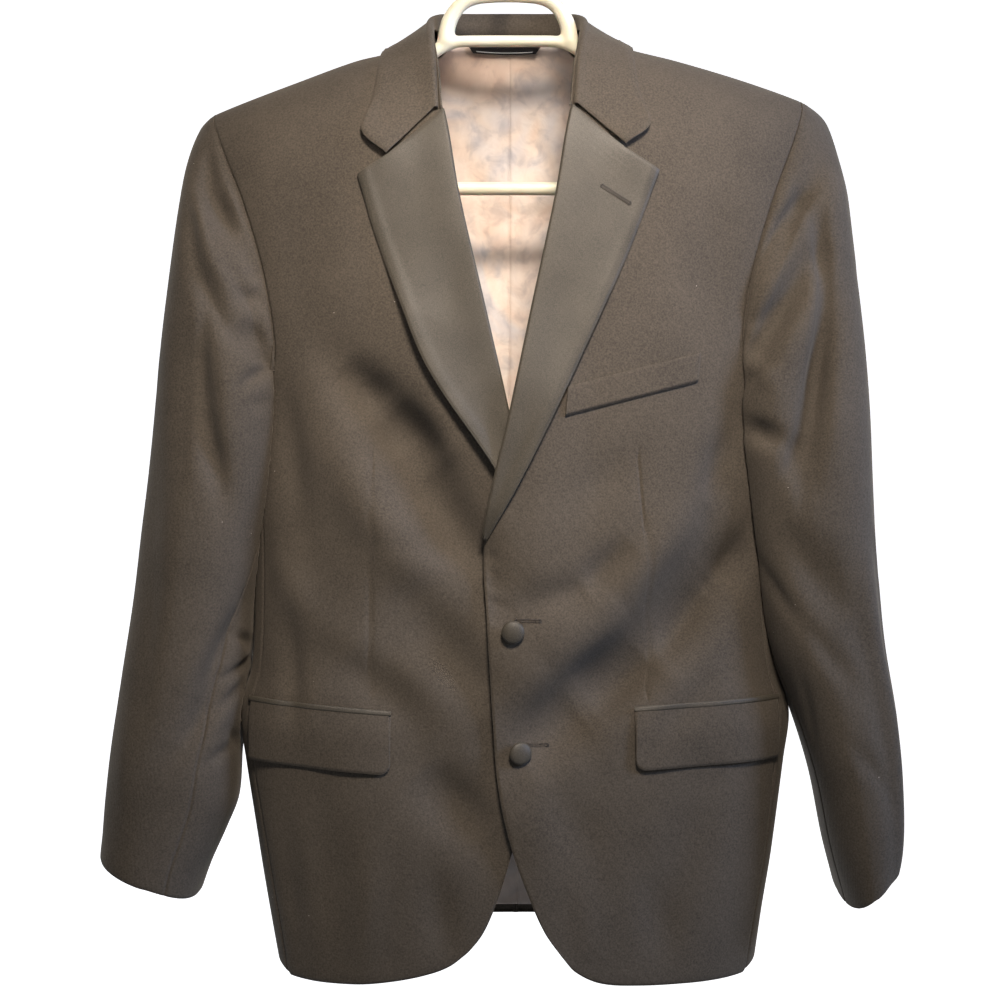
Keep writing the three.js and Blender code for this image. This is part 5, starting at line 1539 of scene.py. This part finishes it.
def buttonPiece(word):
    form = button[word]
    radius, long = button["radius"], button["shankLong"]
    profile = [(0.01, 0.0), (button["shank"], 0.0), (button["shank"] * 0.9, long * 0.8), (radius * 0.8, long)]
    profile += [(radius * 0.95, long + 0.5), (radius, long + 1.3), (radius * 0.985, long + 1.9)]
    for degrees in (12, 24, 36, 48, 60, 72, 82):
        angle = math.radians(degrees)
        high = long + 1.9 + (button["thick"] - 1.9) * math.sin(angle)
        profile.append((radius * 0.985 * math.cos(angle), high))
    profile.append((0.01, long + button["thick"]))
    mesh = bmesh.new()
    verts = [mesh.verts.new((r, 0, h)) for r, h in profile]
    edges = [mesh.edges.new(pair) for pair in zip(verts, verts[1:])]
    around = {"cent": (0, 0, 0), "axis": (0, 0, 1), "angle": math.tau, "steps": button["steps"]}
    bmesh.ops.spin(mesh, geom=verts + edges, use_merge=True, use_duplicate=False, **around)
    bmesh.ops.remove_doubles(mesh, verts=mesh.verts[:], dist=0.05)
    bmesh.ops.recalc_face_normals(mesh, faces=mesh.faces[:])
    x, z = np.array(form["x"], float), np.array(form["z"], float)
    raised = frontLift(1, x, z) + 0.7 + button["shank"] * math.sin(form["tilt"])
    place = onBody(x, wayDown(x, z), raised)
    tilt = form["tilt"]
    for vertex in mesh.verts:
        a, b, h = vertex.co
        across = a * math.cos(tilt) + h * math.sin(tilt)
        depth = -a * math.sin(tilt) + h * math.cos(tilt)
        vertex.co = Vector((place[0] + across, place[1] - depth, place[2] + b)) * mm
    bmesh.ops.recalc_face_normals(mesh, faces=mesh.faces[:])
    for face in mesh.faces:
        face.smooth = True
    return finished(word + "Button", mesh, satin, "button_" + word)


buttons = [buttonPiece(word) for word in ("upper", "lower")]

# buttonholes: a cut with a silk twist stitch every 0.9 mm along both lips
buttonhole = {
    "pitch": 0.9,
    "stitchLong": 2.2,
    "thread": 0.38,
    "cutWide": 0.3,
    "lapelThick": 2.9,
    "places": {
        "upperButtonhole": {"x": 7, "z": -598.5, "toX": 24.5, "toZ": -598.5, "on": "front"},
        "lowerButtonhole": {"x": 12, "z": -697.6, "toX": 30, "toZ": -697.0, "on": "front"},
        "lapelButtonhole": {"x": 73.8, "z": -257.2, "toX": 94.3, "toZ": -270, "on": "lapel"},
    },
}


def buttonholePiece(name):
    form = buttonhole["places"][name]
    a, b = np.array([form["x"], form["z"]]), np.array([form["toX"], form["toZ"]])
    long = float(np.linalg.norm(b - a))
    way = (b - a) / long
    over = np.array([-way[1], way[0]])
    count = int(long / buttonhole["pitch"])
    away = (buttonhole["cutWide"] + buttonhole["stitchLong"] / 2) * 0.62
    stitches = []
    for k in range(count + 1):
        at = a + way * long * k / count
        for lip in (1, -1):
            stitches.append((at + over * lip * away, over))
    for k in range(-3, 4):
        angle = math.radians(26 * k)
        ray = way * math.cos(angle) + over * math.sin(angle)
        stitches.append((b + ray * buttonhole["stitchLong"] * 0.62, ray))
        stitches.append((a - ray * buttonhole["stitchLong"] * 0.62, ray))
    mesh = bmesh.new()
    extra = buttonhole["lapelThick"] if form["on"] == "lapel" else 0
    for place, ray in stitches:
        made = bmesh.ops.create_uvsphere(mesh, u_segments=6, v_segments=5, radius=1)["verts"]
        x, z = np.array(place[0]), np.array(place[1])
        w = wayDown(x, z)
        lift = frontLift(1, x, z) + extra + 0.1
        centre = onBody(x, w, lift)
        normal = bodyNormal(x, w)
        nextX, nextZ = x + 0.5 * ray[0], z + 0.5 * ray[1]
        direction = unit(onBody(nextX, wayDown(nextX, nextZ), lift) - centre)
        third = np.cross(normal, direction)
        for vertex in made:
            p, q, r = vertex.co
            thick = (third * p + normal * q) * buttonhole["thread"]
            vertex.co = Vector(centre + direction * r * buttonhole["stitchLong"] / 2 + thick) * mm
    for face in mesh.faces:
        face.smooth = True
    bmesh.ops.recalc_face_normals(mesh, faces=mesh.faces[:])
    return finished(name, mesh, silkTwist, None)


buttonholes = [buttonholePiece(name) for name in buttonhole["places"]]
print("buttons and buttonholes sewn")


# hanger: round bars as x, z and radius, blended where they meet
hanger = {
    "voxel": 1.35,
    "smoothing": 6,
    "trouserBar": [(-180, -244, 5.8), (-60, -244, 5.8), (60, -244, 5.8), (180, -244, 5.8)],
    "arm": [
        (0, -121.2, 5),
        (30, -121.2, 5),
        (44, -121.6, 5),
        (54, -125.5, 5.4),
        (64, -132, 5.6),
        (80, -137.5, 5.6),
        (118, -144, 5.6),
        (160, -163, 5.6),
        (203, -180.5, 5.6),
        (216, -191, 5.4),
        (217, -206, 5.2),
        (206, -226, 5),
        (188, -241, 5),
        (174, -244, 5),
    ],
    "arch": [
        (0, -83.6, 5.2),
        (25, -84.4, 5.4),
        (38, -89, 6.0),
        (46.4, -99, 6.5),
        (51.4, -112, 7.0),
        (52, -124, 7.2),
    ],
    "hook": {
        "inner": 21,
        "radius": 3.8,
        "foot": -77.9,
        "rises": (0, 8, 16),
        "turns": [-48, -34, -20, *range(-5, 191, 15), 203, 212],
    },
}


# one round bar through its points, as thick as each of them says
def barMesh(points):
    curve = bpy.data.curves.new("bar", "CURVE")
    curve.dimensions = "3D"
    curve.bevel_depth = mm
    curve.bevel_resolution = 5
    curve.use_fill_caps = True
    spline = curve.splines.new("NURBS")
    spline.points.add(len(points) - 1)
    for spot, (x, z, radius) in zip(spline.points, points):
        spot.co = (x * mm, 0, z * mm, 1)
        spot.radius = radius
    spline.use_endpoint_u = True
    spline.order_u = 3
    spline.resolution_u = 8
    holder = bpy.data.objects.new("bar", curve)
    scene.collection.objects.link(holder)
    made = bpy.data.meshes.new_from_object(holder.evaluated_get(bpy.context.evaluated_depsgraph_get()))
    bpy.data.objects.remove(holder)
    return made


# bars melted into one body, smoothed where they meet
def barsPiece(name, paths, node):
    mesh = bmesh.new()
    for path in paths:
        mesh.from_mesh(barMesh(path))
    rough = bpy.data.meshes.new(name)
    mesh.to_mesh(rough)
    mesh.free()
    holder = bpy.data.objects.new(name, rough)
    scene.collection.objects.link(holder)
    blend = holder.modifiers.new("blend", "REMESH")
    blend.mode = "VOXEL"
    blend.voxel_size = hanger["voxel"] * mm
    bpy.context.view_layer.update()
    joined = bpy.data.meshes.new_from_object(holder.evaluated_get(bpy.context.evaluated_depsgraph_get()))
    bpy.data.objects.remove(holder)
    mesh = bmesh.new()
    mesh.from_mesh(joined)
    for _ in range(hanger["smoothing"]):
        axes = {"use_axis_x": True, "use_axis_y": True, "use_axis_z": True}
        bmesh.ops.smooth_vert(mesh, verts=mesh.verts[:], factor=0.5, **axes)
    bmesh.ops.recalc_face_normals(mesh, faces=mesh.faces[:])
    for face in mesh.faces:
        face.smooth = True
    return finished(name, mesh, hangerPlastic, node)


# a half from the middle to the right, with its mirror image
def wholeBar(half):
    return [(-x, z, radius) for x, z, radius in reversed(half)] + half[1:]


# the hook's shank and then its bend, as turns round the rail
def hookPath():
    form = hanger["hook"]
    radius = form["radius"]
    bend = form["inner"] + radius
    path = [(0, form["foot"] + rise, radius) for rise in form["rises"]]
    for degrees in form["turns"]:
        angle = math.radians(degrees)
        path.append((bend * math.cos(angle), -form["inner"] + bend * math.sin(angle), radius))
    return path


frameBars = [wholeBar(hanger["arm"]), wholeBar(hanger["arch"]), hanger["trouserBar"]]
hangerFrame = barsPiece("hangerFrame", frameBars, "hanger_frame")
hangerHook = barsPiece("hangerHook", [hookPath()], "hanger_hook")
print("hanger moulded")

# a pale matt floor and a backdrop that glows white, so the jacket stands on plain white
studio = {"floorZ": -1.9, "backY": 2.4, "wide": 14, "glow": 1.0, "paint": "#f4f4f4"}


def stagePiece(name, glow, corners):
    material, shader = newMaterial(name + "Paint", studio["paint"])
    setNode(material, shader, {"Roughness": 0.9, "Emission Color": (1, 1, 1, 1), "Emission Strength": glow})
    mesh = bmesh.new()
    bmesh.ops.create_grid(mesh, x_segments=1, y_segments=1, size=0.5)
    for vertex in mesh.verts:
        y, z = corners[0] if vertex.co.y < 0 else corners[1]
        vertex.co = Vector((vertex.co.x * studio["wide"], y, z))
    data = bpy.data.meshes.new(name)
    mesh.to_mesh(data)
    mesh.free()
    data.materials.append(material)
    piece = bpy.data.objects.new(name, data)
    scene.collection.objects.link(piece)


stagePiece("paleFloor", 0.0, ((-4, studio["floorZ"]), (studio["backY"], studio["floorZ"])))
stagePiece("whiteBackdrop", studio["glow"], ((studio["backY"], studio["floorZ"]), (studio["backY"], 5)))


def softLight(name, place, target, size, power, colour, spread=180):
    data = bpy.data.lights.new(name, "AREA")
    data.shape = "RECTANGLE"
    data.size, data.size_y = size
    data.energy = power
    data.spread = math.radians(spread)
    data.color = linear(colour)[:3]
    light = bpy.data.objects.new(name, data)
    light.location = place
    light.rotation_euler = (Vector(target) - Vector(place)).to_track_quat("-Z", "Y").to_euler()
    scene.collection.objects.link(light)
    return light


softLight("ceilingSoftbox", (0.16, -1.0, 0.44), (-0.02, 0, -0.44), (0.34, 0.24), 2.5, "#fff1e2", 50)
softLight("neckSoftbox", (0.05, -1.8, -0.12), (0.01, 0, -0.19), (0.3, 0.3), 0.09, "#ffeede", 16)
softLight("coolSideSoftbox", (1.8, -0.62, 0.1), (0.15, 0, -0.45), (0.4, 0.7), 7.0, "#b9d2ff", 90)
softLight("frontFill", (-0.9, -2.0, -0.1), (0, 0, -0.4), (1.2, 0.8), 0.8, "#f4efe8")
world = bpy.data.worlds.new("paleRoom")
world.use_nodes = True
world.node_tree.nodes["Background"].inputs["Color"].default_value = linear("#dfe8f6")
world.node_tree.nodes["Background"].inputs["Strength"].default_value = 0.12
scene.world = world
scene.view_settings.view_transform = "Standard"
print("stage and lights set")
